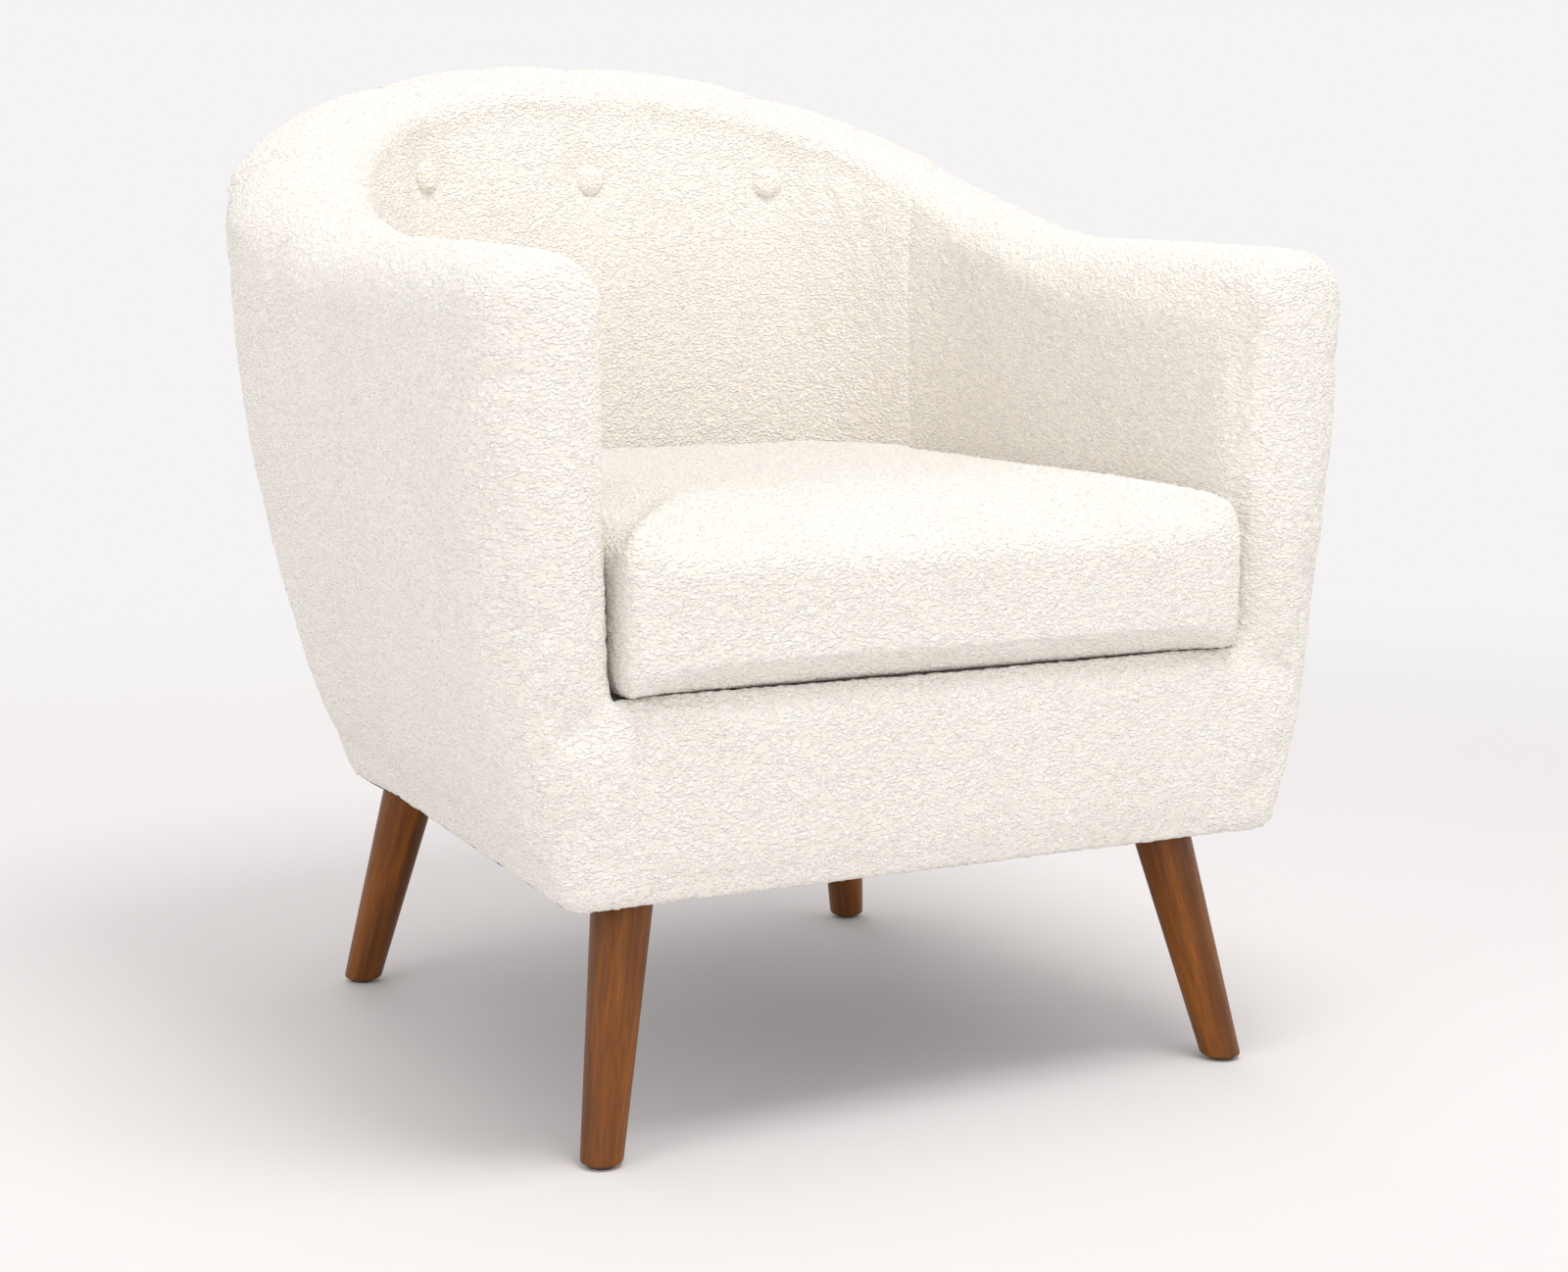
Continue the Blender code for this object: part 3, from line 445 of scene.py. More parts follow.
def finish_named(slot):
    """The material of one of the record's slots, made when first asked for."""
    if slot not in _finishes:
        colours = bpy.context.scene.armchair_colours
        make = {
            "ivory_boucle": lambda: boucle(colours.boucle_light, colours.boucle_shade),
            "walnut_stained_wood": lambda: walnut(colours.walnut_light, colours.walnut_dark),
            "cream_backing": lambda: woven("cream platform cotton", hex_colour("#E9E1D2"),
                                           hex_colour("#CFC4B0"), 0.0012),
            "dust_cloth": lambda: grained("black spunbond dust cloth", hex_colour("#34332F"),
                                          hex_colour("#1E1D1B"), 0.0012, roughness=0.9),
            "frame_timber": lambda: grained("planed plantation pine", hex_colour("#D9B98A"),
                                            hex_colour("#B88D57"), 0.006, (0.06, 1, 1)),
            "zinc_steel": lambda: grained("zinc-plated steel wire", hex_colour("#C4C6C8"),
                                          hex_colour("#96999C"), 0.003, roughness=0.35, metallic=1.0),
            "brown_nylon": lambda: grained("moulded brown nylon", hex_colour("#4A3526"),
                                           hex_colour("#38271B"), 0.0008, roughness=0.5),
            "seat_foam": lambda: grained("cut polyurethane foam", hex_colour("#EFE3B8"),
                                         hex_colour("#C9B98A"), 0.0009, roughness=0.95, bump=0.0005),
            "elastic_webbing": lambda: woven("woven elastic webbing", hex_colour("#D8D2C4"),
                                             hex_colour("#8E8675"), 0.0020),
            "zip_tape": lambda: woven("woven zip tape", hex_colour("#EDE6D8"),
                                      hex_colour("#CFC6B4"), 0.0009),
            "zip_metal": lambda: grained("cast zinc zip slider", hex_colour("#C9C4B8"),
                                         hex_colour("#A39D8F"), 0.002, roughness=0.3, metallic=1.0),
        }
        _finishes[slot] = make[slot]()
    return _finishes[slot]


def finish_piece(obj, slot, body="chair", replaced=()):
    """Gives a piece its material, its body and the CAD nodes that it stands for."""
    obj.data.materials.clear()
    obj.data.materials.append(finish_named(slot))
    if replaced:
        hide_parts(*replaced)
    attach(obj, body)
    return obj


# ---------------------------------------------------------------- padded wall

INSET = 0.0035
SEAM_LAP = 0.009
RAIL_LAP = 0.016
PANEL = 0.014
BACK_PAD = 0.030
FRONT_ROUND_OUTER = 0.030
FRONT_ROUND_INNER = 0.011
FRONT_ROUND_BASE = 0.007
SEAM_GROOVE = 0.0014
SEAM_WIDTH = 0.0028
CREASE_DEPTH = 0.0018
CREASE_WIDTH = 0.006

# Each skin's filling: its pressure, and the most that it may move the skin.
ARM_FILL = (1.2, 0.006)
INSIDE_BACK_FILL = (1.6, 0.008)
OUTSIDE_BACK_FILL = (1.0, 0.004)
RAIL_FILL = (1.2, 0.004)
DECK_FILL = (0.4, 0.0012)
CUSHION_FILL = (4.0, 0.018)


def eased(distance, radius):
    """How far a rounded edge of this radius draws back, at a distance from the face it turns into."""
    gap = np.clip(radius - distance, 0.0, radius)
    return radius - np.sqrt(radius * radius - gap * gap)


def arm_ring(outer_s, inner_s, low_inside):
    """One closed section of an arm: outside, roll, seat side, then back under the deck."""
    outer_t = OUTER_STRAIGHT * (1 - outer_s) / STRAIGHT_SHARE
    inner_t = SEAT_STRAIGHT * (1 - inner_s) / STRAIGHT_SHARE
    outer_depth = INSET + eased(outer_t, FRONT_ROUND_OUTER)
    inner_depth = INSET + eased(inner_t, FRONT_ROUND_INNER)
    outer_top = float(crest_z(outer_s)) - ROLL_HEIGHT
    inner_top = float(crest_z(inner_s)) - ROLL_HEIGHT
    levels = np.linspace(LEG_HEIGHT + 0.002, outer_top, 24)
    round_here = mix(FRONT_ROUND_BASE, FRONT_ROUND_OUTER, smooth((levels - LEG_HEIGHT) / 0.22))
    up = outside(outer_s, levels, INSET + eased(outer_t, round_here))
    turn = np.linspace(0, 1, 14)[1:-1]
    over = roll(np.full(turn.shape, outer_s), np.full(turn.shape, inner_s), turn,
                mix(outer_depth, inner_depth, turn))
    down = inside(inner_s, np.linspace(inner_top, DECK_Z - 0.004, 18), inner_depth)
    if low_inside:
        y = down[-1][1]
        under = np.array([(RAIL_HALF_WIDTH - RAIL_LAP, y, DECK_Z - 0.004),
                          (RAIL_HALF_WIDTH - RAIL_LAP, y, LEG_HEIGHT + 0.002)])
    else:
        under = outside(outer_s, np.array([DECK_Z - 0.004, LEG_HEIGHT + 0.002]), PANEL)
    return np.concatenate([up, over, down, under])


def arm_solid(name):
    """The right arm's wall as one closed solid, from its front face to the seams of the back."""
    depth = 0.022
    front = 1 - STRAIGHT_SHARE * depth / OUTER_STRAIGHT
    angles = np.linspace(0, math.pi / 2, 8)
    near = 1 - STRAIGHT_SHARE * FRONT_ROUND_OUTER / OUTER_STRAIGHT * (1 - np.cos(angles))
    rings = [arm_ring(s, s, s > front) for s in near]
    split = [i for i, s in enumerate(near) if s <= front][0]
    rings.insert(split, arm_ring(front, front, False))
    rings.insert(split, arm_ring(front, front, True))
    shares = np.linspace(0, 1, 40)[1:]
    for k in shares:
        rings.append(arm_ring(mix(near[-1], OUTSIDE_SEAM - SEAM_LAP, k),
                              mix(near[-1], BACK_SEAM - SEAM_LAP, k), False))
    return skin_rings(name, rings)


def station_of(points):
    """The nearest wall station of each point, seen from above."""
    grid = np.linspace(-1, 1, 801)
    middle = (outer_plan(grid, 0.60) + inner_plan(grid, 0.60)) / 2
    tree = kdtree.KDTree(len(grid))
    for i, p in enumerate(middle):
        tree.insert((p[0], p[1], 0.0), i)
    tree.balance()
    return grid[[tree.find((x, y, 0.0))[1] for x, y in points[:, :2]]]


def crease(obj):
    """A shallow sewn line along the outside, where the roll's padding ends."""
    points, out = coordinates(obj.data), normals(obj.data)
    s = station_of(points)
    line = crest_z(s) - PAD_DROP
    near = np.exp(-(((points[:, 2] - line) / CREASE_WIDTH) ** 2))
    surface = outside(s, points[:, 2])
    facing = np.clip((out[:, :2] * (surface - inside(s, points[:, 2]))[:, :2]).sum(1) * 20, 0, 1)
    set_coordinates(obj.data, points - out * (CREASE_DEPTH * near * facing)[:, None])


def rail_seam(obj):
    """The sewn line down the front where the rail's cover meets each arm."""
    points, out = coordinates(obj.data), normals(obj.data)
    near = np.exp(-(((np.abs(points[:, 0]) - RAIL_HALF_WIDTH) / SEAM_WIDTH) ** 2))
    front = (out[:, 1] < -0.5) & (points[:, 2] < DECK_Z + 0.004)
    set_coordinates(obj.data, points - out * (SEAM_GROOVE * near * front)[:, None])


def mirrored(obj, name):
    """A mirror copy across the chair's middle."""
    mesh = obj.data.copy()
    mesh.transform(Matrix.Scale(-1, 4, (1, 0, 0)))
    mesh.flip_normals()
    mesh.name = name
    copy = bpy.data.objects.new(name, mesh)
    bpy.context.scene.collection.objects.link(copy)
    return copy


def held_below(points, z, width=0.02):
    """1 at and under a height, fading to 0 above it."""
    return np.clip(1 - (points[:, 2] - z) / width, 0, 1)


def make_arms():
    """Both padded arms: the right one is filled, and the left is its mirror copy."""
    sizes = bpy.context.scene.armchair_sizes
    right = arm_solid("arm_cover_right")
    remesh(right, sizes.skin_pitch, 6)
    points = coordinates(right.data)
    fill(right, *ARM_FILL, held_below(points, LEG_HEIGHT, 0.05))
    left = mirrored(right, "arm_cover_left")
    for obj, word in ((right, "right"), (left, "left")):
        subdivide(obj)
        crease(obj)
        nubs(obj, sizes.nub_height)
        rail_seam(obj)
        finish_piece(obj, "ivory_boucle",
                     replaced=(f"arm_pad_{word}", f"arm_front_panel_{word}", f"outside_arm_panel_{word}"))


def button_places():
    """Button centres on the inside back, with the outward direction at each."""
    places = []
    for x in (-BUTTON_SPACING, 0.0, BUTTON_SPACING):
        grid = np.linspace(-BACK_SEAM, BACK_SEAM, 2001)
        s = grid[np.argmin(np.abs(inner_plan(grid, np.full(grid.shape, BUTTON_HEIGHT))[:, 0] - x))]
        centre = inside(s, BUTTON_HEIGHT)
        out = inside(s, BUTTON_HEIGHT, -1.0) - centre
        up = inside(s, BUTTON_HEIGHT + 0.01) - inside(s, BUTTON_HEIGHT - 0.01)
        up /= np.linalg.norm(up)
        out -= up * out.dot(up)
        places.append((centre, out / np.linalg.norm(out), up))
    return places


ROLL_LOFT = 0.0045
BACK_LAP = 0.012
DIMPLE_DEPTH, DIMPLE_WIDTH = 0.0065, 0.022
VALLEY_DEPTH, VALLEY_WIDTH = 0.0035, 0.026
FOLD_DEPTH, FOLD_WIDTH = 0.0022, 0.006


def make_inside_back():
    """The inside back and its crest roll, drawn in round the buttons and down from each of them."""
    sizes = bpy.context.scene.armchair_sizes
    rings = []
    for s in np.linspace(-BACK_SEAM - SEAM_LAP, BACK_SEAM + SEAM_LAP, 90):
        outer_s = s * (OUTSIDE_SEAM + SEAM_LAP) / (BACK_SEAM + SEAM_LAP)
        outer_top, inner_top = float(crest_z(outer_s)), float(crest_z(s))
        hem = outer_top - PAD_DROP - BACK_LAP / 2
        up = outside(outer_s, np.linspace(hem, outer_top - ROLL_HEIGHT, 5), INSET)
        turn = np.linspace(0, 1, 14)[1:-1]
        over = roll(np.full(turn.shape, outer_s), np.full(turn.shape, s), turn,
                    np.full(turn.shape, INSET - ROLL_LOFT))
        down = inside(s, np.linspace(inner_top - ROLL_HEIGHT, DECK_Z - 0.004, 24), INSET)
        back = inside(s, np.linspace(DECK_Z - 0.004, inner_top - PAD_DROP, 14), BACK_PAD)
        rings.append(np.concatenate([up, over, down, back]))
    obj = skin_rings("inside_back_cover", rings)
    remesh(obj, sizes.skin_pitch, 4)
    points = coordinates(obj.data)
    fill(obj, *INSIDE_BACK_FILL, held_below(points, DECK_Z, 0.03))
    subdivide(obj)
    points, out = coordinates(obj.data), normals(obj.data)
    for centre, axis, up in button_places():
        away = points - centre
        deep = away @ axis
        rise = away @ up
        across = away @ np.cross(axis, up)
        radius = np.hypot(rise, across)
        near = (np.abs(deep) < 0.030) & (out @ axis > 0.2)
        dimple = DIMPLE_DEPTH * np.exp(-(radius / DIMPLE_WIDTH) ** 1.6)
        reach = np.exp(-(np.clip(np.abs(rise - 0.02) - 0.05, 0, 1) / 0.050) ** 2)
        valley = VALLEY_DEPTH * np.exp(-(across / VALLEY_WIDTH) ** 2) * reach
        fold = FOLD_DEPTH * np.exp(-(across / FOLD_WIDTH) ** 2) * np.exp(-((rise - 0.02) / 0.060) ** 2)
        front = (deep < 0.030) & (deep > -0.085) & (points[:, 2] > DECK_Z + 0.10)
        points -= axis * np.where(near, dimple, 0.0)[:, None]
        points -= out * np.where(front & (out @ axis > -0.3), valley + fold, 0.0)[:, None]
    set_coordinates(obj.data, points)
    nubs(obj, sizes.nub_height)
    finish_piece(obj, "ivory_boucle", replaced=("inside_back_pad",))


def make_outside_back():
    """The outside back panel, which runs up under the hem of the crest roll."""
    sizes = bpy.context.scene.armchair_sizes
    rings = []
    for s in np.linspace(-OUTSIDE_SEAM - SEAM_LAP, OUTSIDE_SEAM + SEAM_LAP, 80):
        top = float(crest_z(s)) - PAD_DROP + BACK_LAP
        levels = np.linspace(LEG_HEIGHT + 0.002, top, 26)
        rings.append(np.concatenate([outside(s, levels, INSET), outside(s, levels[::-1], PANEL)]))
    obj = skin_rings("outside_back_cover", rings)
    remesh(obj, sizes.skin_pitch, 2)
    points = coordinates(obj.data)
    fill(obj, *OUTSIDE_BACK_FILL, held_below(points, LEG_HEIGHT, 0.03))
    subdivide(obj)
    nubs(obj, sizes.nub_height)
    finish_piece(obj, "ivory_boucle", replaced=("outside_back_panel",))


LOWER_EDGE = 0.006
TOP_EDGE = 0.014
LEDGE_DEPTH = 0.070
LEDGE_THICKNESS = 0.022
RAIL_LOFT = 0.0030


def rail_section(low, high, ledge, edge):
    """The rail cover's section across Y and Z: its face, its eased top edge and a ledge over the deck."""
    turns = np.linspace(0, math.pi / 2, 7)
    top_edge = [(low[1] + edge * (1 - math.sin(a)), high[2] - edge * (1 - math.cos(a)))
                for a in turns[::-1]]
    bottom_edge = [(low[1] + LOWER_EDGE * (1 - math.cos(a)), low[2] + LOWER_EDGE * (1 - math.sin(a)))
                   for a in turns[::-1]]
    face = [(low[1], z) for z in np.linspace(low[2] + LOWER_EDGE, high[2] - edge, 20)]
    under = high[2] - LEDGE_THICKNESS
    back = [(ledge, high[2]), (ledge, under), (high[1], under), (high[1], low[2])]
    return bottom_edge + face[1:-1] + top_edge[::-1] + back


def make_front_rail():
    """The padded front rail, with a ledge that the cushion's front rests on."""
    sizes = bpy.context.scene.armchair_sizes
    low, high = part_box("front_rail_cover")
    low = (low.x - RAIL_LAP, FRONT_Y + INSET, low.z + 0.002)
    high = (high.x + RAIL_LAP, high.y, high.z + RAIL_LOFT)
    section = rail_section(low, high, FRONT_Y + LEDGE_DEPTH, TOP_EDGE)
    rings = [[(x, y, z) for y, z in section] for x in np.linspace(low[0], high[0], 70)]
    obj = skin_rings("front_rail_cloth", rings)
    remesh(obj, sizes.skin_pitch, 1)
    points = coordinates(obj.data)
    hold = np.maximum(held_below(points, LEG_HEIGHT, 0.02),
                      smooth((points[:, 1] - FRONT_Y - 0.015) / 0.01))
    fill(obj, *RAIL_FILL, hold)
    subdivide(obj)
    nubs(obj, sizes.nub_height)
    rail_seam(obj)
    finish_piece(obj, "ivory_boucle", replaced=("front_rail_cover",))


DECK_OVERLAP = 0.009
DECK_START = 0.031
DECK_ROOM = 0.0018
DECK_EDGE = 0.006
DECK_PITCH = 0.009


def make_deck():
    """The platform under the cushion: thin wadding under plain cream cotton."""
    outline = np.maximum(cushion_outline(-DECK_OVERLAP), [[-1, FRONT_Y + DECK_START]])
    low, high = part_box("seat_deck_pad")
    rings = []
    for i in range(5):
        a = math.pi / 2 * i / 4
        z = high.z - DECK_ROOM - DECK_EDGE * (1 - math.sin(a))
        drawn_in = outline * (1 - 0.016 * (1 - math.cos(a)))
        rings.append(np.column_stack([drawn_in, np.full(len(outline), z)]))
    base = np.column_stack([outline, np.full(len(outline), low.z)])
    obj = skin_rings("seat_deck_platform", [base, *rings])
    remesh(obj, DECK_PITCH, 1)
    points = coordinates(obj.data)
    fill(obj, *DECK_FILL, held_below(points, low.z + 0.004, 0.01))
    subdivide(obj)
    finish_piece(obj, "cream_backing", replaced=("seat_deck_pad",))


# ---------------------------------------------------------------- seat cushion

CUSHION_CORNER = 0.010
CUSHION_INSET = 0.0025
CUSHION_SIDE_ROOM = 0.0055
CUSHION_LOW_EDGE = 0.010
CUSHION_TOP_EDGE = 0.018
CUSHION_CROWN = 0.007  # room left for the filling to swell into
CUSHION_PRESS = 0.0022  # how far it presses into the deck
CUSHION_LIFT = 0.0165  # how far the lower front edge curls up
CUSHION_LIP = 0.034  # how far back that curl reaches
CUSHION_SHOULDER = 0.006  # how much fuller the top is along its sides
CUSHION_SHOULDER_START = 0.195
FOAM_INSET = 0.006


def cushion_outline(inset, side_room=0.0, steps=120):
    """The cushion's outline, inset from the seat well that it fits."""
    half = CUSHION_HIGH.x + side_room - inset
    front = CUSHION_LOW.y + inset
    back = CUSHION_HIGH.y - inset
    reach = 0.006 - side_room + inset
    radius = CUSHION_CORNER - inset * 0.5
    points = []
    for i in range(13):
        angle = -math.pi / 2 + math.pi / 2 * i / 12
        points.append((half - radius + radius * math.cos(angle), front + radius + radius * math.sin(angle)))
    start = 1 - STRAIGHT_SHARE * (front + radius + 0.02 - FRONT_Y) / SEAT_STRAIGHT
    for s in np.linspace(start, 0.0, steps)[:-1]:
        p = inside(s, DECK_Z, -reach)
        points.append((min(p[0], half), min(p[1], back)))
    points.append((0.0, back))
    right = points
    left = [(-x, y) for x, y in right[-2::-1]]
    return np.array(right + left)


def make_cushion():
    """A boxy foam cushion: crowned top, full front, and an underside flat on the deck."""
    sizes = bpy.context.scene.armchair_sizes
    low, high = CUSHION_LOW.z - CUSHION_PRESS, CUSHION_HIGH.z - CUSHION_CROWN
    rings = []
    for edge, level, way in ((CUSHION_LOW_EDGE, low, 1), (CUSHION_TOP_EDGE, high, -1)):
        for i in range(7):
            a = math.pi / 2 * (i if way == 1 else 6 - i) / 6
            outline = cushion_outline(CUSHION_INSET + edge * (1 - math.sin(a)), CUSHION_SIDE_ROOM)
            z = np.full(len(outline), level + way * edge * (1 - math.cos(a)))
            rings.append(np.column_stack([outline, z]))
    obj = skin_rings("seat_cushion_cover", rings)
    remesh(obj, sizes.skin_pitch, 2)
    points = coordinates(obj.data)
    hold = 0.85 * (1 - smooth((points[:, 2] - mix(low, high, 0.55)) / 0.050))
    fill(obj, *CUSHION_FILL, np.clip(hold, 0, 1))
    add_easing(obj, 8)
    bake_modifiers(obj)
    points = coordinates(obj.data)
    rise = smooth((points[:, 2] - low) / 0.030)
    half, back = CUSHION_HIGH.x + 0.0060, CUSHION_HIGH.y - 0.0015
    points[:, 0] = np.clip(points[:, 0], -half, half)
    points[:, 1] = np.minimum(points[:, 1], back)
    across = np.abs(points[:, 0])
    front_lift = CUSHION_LIFT * smooth((CUSHION_LOW.y + CUSHION_LIP - points[:, 1]) / 0.030)
    arch = 1 - np.clip(across / (CUSHION_HIGH.x - 0.004), 0, 1) ** 8
    points[:, 2] += front_lift * arch * (1 - rise)
    sides = smooth((across - CUSHION_SHOULDER_START) / 0.050)
    upper = smooth((points[:, 2] - mix(low, high, 0.5)) / 0.040)
    points[:, 2] += CUSHION_SHOULDER * (sides * upper)
    points[:, 2] = np.maximum(points[:, 2], low)
    set_coordinates(obj.data, points)
    foam = bpy.data.objects.new("seat_cushion_foam", obj.data.copy())
    bpy.context.scene.collection.objects.link(foam)
    set_coordinates(foam.data, coordinates(foam.data) - normals(foam.data) * FOAM_INSET)
    subdivide(obj)
    nubs(obj, sizes.nub_height)
    points = coordinates(obj.data)
    points[:, 2] = np.maximum(points[:, 2], low)
    set_coordinates(obj.data, points)
    finish_piece(obj, "ivory_boucle", "seat_cushion", ("cushion_cover",))
    finish_piece(foam, "seat_foam", "seat_cushion", ("cushion_foam_core",))


# ---------------------------------------------------------------- buttons

def turned(name, profile, sides):
    """A solid turned about Z from (radius, height) points, closed at both ends."""
    rings = [[(r * math.cos(a), r * math.sin(a), z)
              for a in np.linspace(0, 2 * math.pi, sides, endpoint=False)] for r, z in profile]
    return skin_rings(name, rings)


BUTTON_SINK = 0.0062
BUTTON_CROWN = 0.008


def make_buttons():
    """Cloth-covered buttons with a low crown, drawn into the inside back."""
    sizes = bpy.context.scene.armchair_sizes
    radius = sizes.button_radius
    for word, (centre, axis, up) in zip(("left", "centre", "right"), button_places()):
        profile = [(radius * 0.80, -0.004), (radius, 0.000)]
        profile += [(radius * math.cos(a) ** 0.6, BUTTON_CROWN * math.sin(a))
                    for a in np.linspace(0.2, 1.45, 8)]
        obj = turned(f"covered_button_{word}", profile, 48)
        remesh(obj, 0.0016, 3)
        side = np.cross(up, axis)
        seat = centre - axis * BUTTON_SINK
        turn = Matrix([[side[i], up[i], axis[i], seat[i]] for i in range(3)] + [[0, 0, 0, 1]])
        obj.data.transform(turn)
        nubs(obj, sizes.nub_height * 0.6)
        finish_piece(obj, "ivory_boucle", replaced=(f"back_button_{word}",))


# ---------------------------------------------------------------- legs

LEG_FOOT_RADIUS = 0.0153
LEG_TOP_RADIUS = 0.0229
LEG_EASE = 0.0028


def make_legs():
    """Turned tapers cut level at floor and body, with the foot's edge eased."""
    for node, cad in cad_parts.items():
        if not node.startswith("leg_"):
            continue
        points = coordinates(cad.data)
        low, high = points[:, 2].min(), points[:, 2].max()
        foot, top = (points[np.abs(points[:, 2] - z) < 0.0004] for z in (low, high))
        foot, top = ((p.min(0) + p.max(0)) / 2 for p in (foot, top))
        run = (top - foot) / (top - foot)[2]
        stretch = np.linalg.norm(run)
        lean = run[:2] / np.linalg.norm(run[:2])
        rings = []
        angles = np.linspace(0, 2 * math.pi, 72, endpoint=False)
        eased_levels = low + LEG_EASE * (1 - np.cos(np.linspace(0, math.pi / 2, 7)))
        for z in np.concatenate([eased_levels, np.linspace(low + LEG_EASE, high, 28)[1:]]):
            radius = mix(LEG_FOOT_RADIUS, LEG_TOP_RADIUS, (z - low) / (high - low))
            radius -= eased(z - low, LEG_EASE)
            flat = np.stack([np.cos(angles), np.sin(angles)], -1) * radius
            flat += lean * (flat @ lean)[:, None] * (stretch - 1)
            rings.append(np.column_stack([flat + (foot + run * (z - low))[:2], np.full(len(flat), z)]))
        obj = skin_rings(f"turned_{node}", rings)
        obj.data.shade_smooth()
        obj.data.set_sharp_from_angle(angle=math.radians(60))
        place = Matrix.Translation(Vector(foot)) @ Vector(run).to_track_quat("Z", "Y").to_matrix().to_4x4()
        obj.data.transform(place.inverted())
        obj.matrix_world = place
        finish_piece(obj, "walnut_stained_wood", replaced=(node,))


# ---------------------------------------------------------------- everything else

HARDWARE = {
    "frame_timber": ("seat_rail_", "front_post_", "back_post_", "arm_rail_", "crest_rail",
                     "front_leg_cleat", "rear_leg_cleat"),
    "zinc_steel": ("seat_spring_", "spring_clip_", "hanger_bolt_"),
    "brown_nylon": ("foot_glide_",),
    "elastic_webbing": ("back_webbing_",),
    "cream_backing": ("button_tie_",),
    "dust_cloth": ("dust_cloth",),
    "zip_tape": ("cushion_zip_tape",),
    "zip_metal": ("cushion_zip_slider",),
}


def finish_hardware():
    """Gives the CAD nodes that show as they are their own materials."""
    for slot, starts in HARDWARE.items():
        for name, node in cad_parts.items():
            if name.startswith(starts):
                node.data.materials.clear()
                node.data.materials.append(finish_named(slot))


# ---------------------------------------------------------------- stage

BACKDROP = "#F5F3F4"
FLOOR = "#E6E3E2"
FLOOR_HALF = 40.0
FLOOR_FADE = (0.8, 2.8)
CAMERA_PLACE = (-1.1076, -2.0350, 0.6634)
CAMERA_TURN = (-29.66, 8.55, 0.48)
CAMERA_LENS = 64.83
# name, place, target, size, watts
LAMPS = (
    ("key", (0.2, -1.0, 3.0), (0, 0, 0.4), (1.2, 1.2), 38.0),
    ("front", (-0.6, -3.2, 1.6), (0, 0, 0.4), (2.0, 1.4), 9.0),
    ("side", (-3.2, -0.9, 1.8), (0, 0, 0.5), (2.0, 1.4), 14.0),
    ("back", (0.5, 3.2, 1.8), (0, 0, 0.3), (2.0, 1.4), 15.0),
)


def make_floor():
    """A seamless pale floor that fades into the backdrop."""
    corners = [(x * FLOOR_HALF, y * FLOOR_HALF, 0) for x, y in ((-1, -1), (1, -1), (1, 1), (-1, 1))]
    floor = add_object("studio_floor", corners, [(0, 1, 2, 3)])
    finish, tree, surface = new_material("pale painted floor")
    surface.inputs["Base Color"].default_value = hex_colour(FLOOR)
    surface.inputs["Roughness"].default_value = 0.8
    surface.inputs["Specular IOR Level"].default_value = 0.2
    place = add_node(tree, "ShaderNodeTexCoord")
    away = add_node(tree, "ShaderNodeVectorMath", {"operation": "LENGTH"}, i0=(place, "Object"))
    far = add_node(tree, "ShaderNodeMapRange", {"interpolation_type": "SMOOTHSTEP"},
                   Value=(away, "Value"), i1=FLOOR_FADE[0], i2=FLOOR_FADE[1])
    glow = add_node(tree, "ShaderNodeEmission", Color=hex_colour(BACKDROP), Strength=1.0)
    blend = add_node(tree, "ShaderNodeMixShader", i0=(far, 0), i1=(surface, 0), i2=(glow, 0))
    tree.links.new(blend.outputs[0], tree.nodes["Material Output"].inputs["Surface"])
    floor.data.materials.append(finish)


def make_surround():
    """An even backdrop to look at, which lights the chair most from near the horizon."""
    world = bpy.data.worlds.new("studio")
    bpy.context.scene.world = world
    world.use_nodes = True
    tree = world.node_tree
    shown = tree.nodes["Background"]
    shown.inputs["Color"].default_value = hex_colour(BACKDROP)
    around = add_node(tree, "ShaderNodeTexCoord")
    upward = add_node(tree, "ShaderNodeSeparateXYZ", Vector=(around, "Generated"))
    glow = add_node(tree, "ShaderNodeMapRange", i0=(upward, "Z"), i1=0.02, i2=0.50, i3=1.92, i4=0.75)
    lighting = add_node(tree, "ShaderNodeBackground", i0=hex_colour(BACKDROP), i1=(glow, 0))
    seen = add_node(tree, "ShaderNodeLightPath")
    both = add_node(tree, "ShaderNodeMixShader",
                    i0=(seen, "Is Camera Ray"), i1=(lighting, 0), i2=(shown, 0))
    tree.links.new(both.outputs[0], tree.nodes["World Output"].inputs["Surface"])


def make_lamps():
    """A key overhead and three weak fills."""
    for name, place, target, size_xy, power in LAMPS:
        lamp = bpy.data.lights.new(name, "AREA")
        lamp.shape = "RECTANGLE"
        lamp.size, lamp.size_y = size_xy
        lamp.energy = power
        obj = bpy.data.objects.new(name, lamp)
        obj.location = place
        obj.rotation_euler = (Vector(target) - Vector(place)).to_track_quat("-Z", "Y").to_euler()
        bpy.context.scene.collection.objects.link(obj)


def make_camera():
    """The camera, from its place and its azimuth, downward pitch and roll in degrees."""
    camera = bpy.data.cameras.new("camera")
    camera.lens = CAMERA_LENS
    camera.sensor_width = 36.0
    eye = bpy.data.objects.new("camera", camera)
    azimuth, pitch, tilt = (math.radians(v) for v in CAMERA_TURN)
    level = math.cos(pitch)
    forward = Vector((-math.sin(azimuth) * level, math.cos(azimuth) * level, -math.sin(pitch)))
    right = Vector((math.cos(azimuth), math.sin(azimuth), 0))
    up = right.cross(forward)
    side = right * math.cos(tilt) + up * math.sin(tilt)
    top = up * math.cos(tilt) - right * math.sin(tilt)
    eye.matrix_world = Matrix([[side[i], top[i], -forward[i], CAMERA_PLACE[i]] for i in range(3)]
                              + [[0, 0, 0, 1]])
    bpy.context.scene.collection.objects.link(eye)
    bpy.context.scene.camera = eye


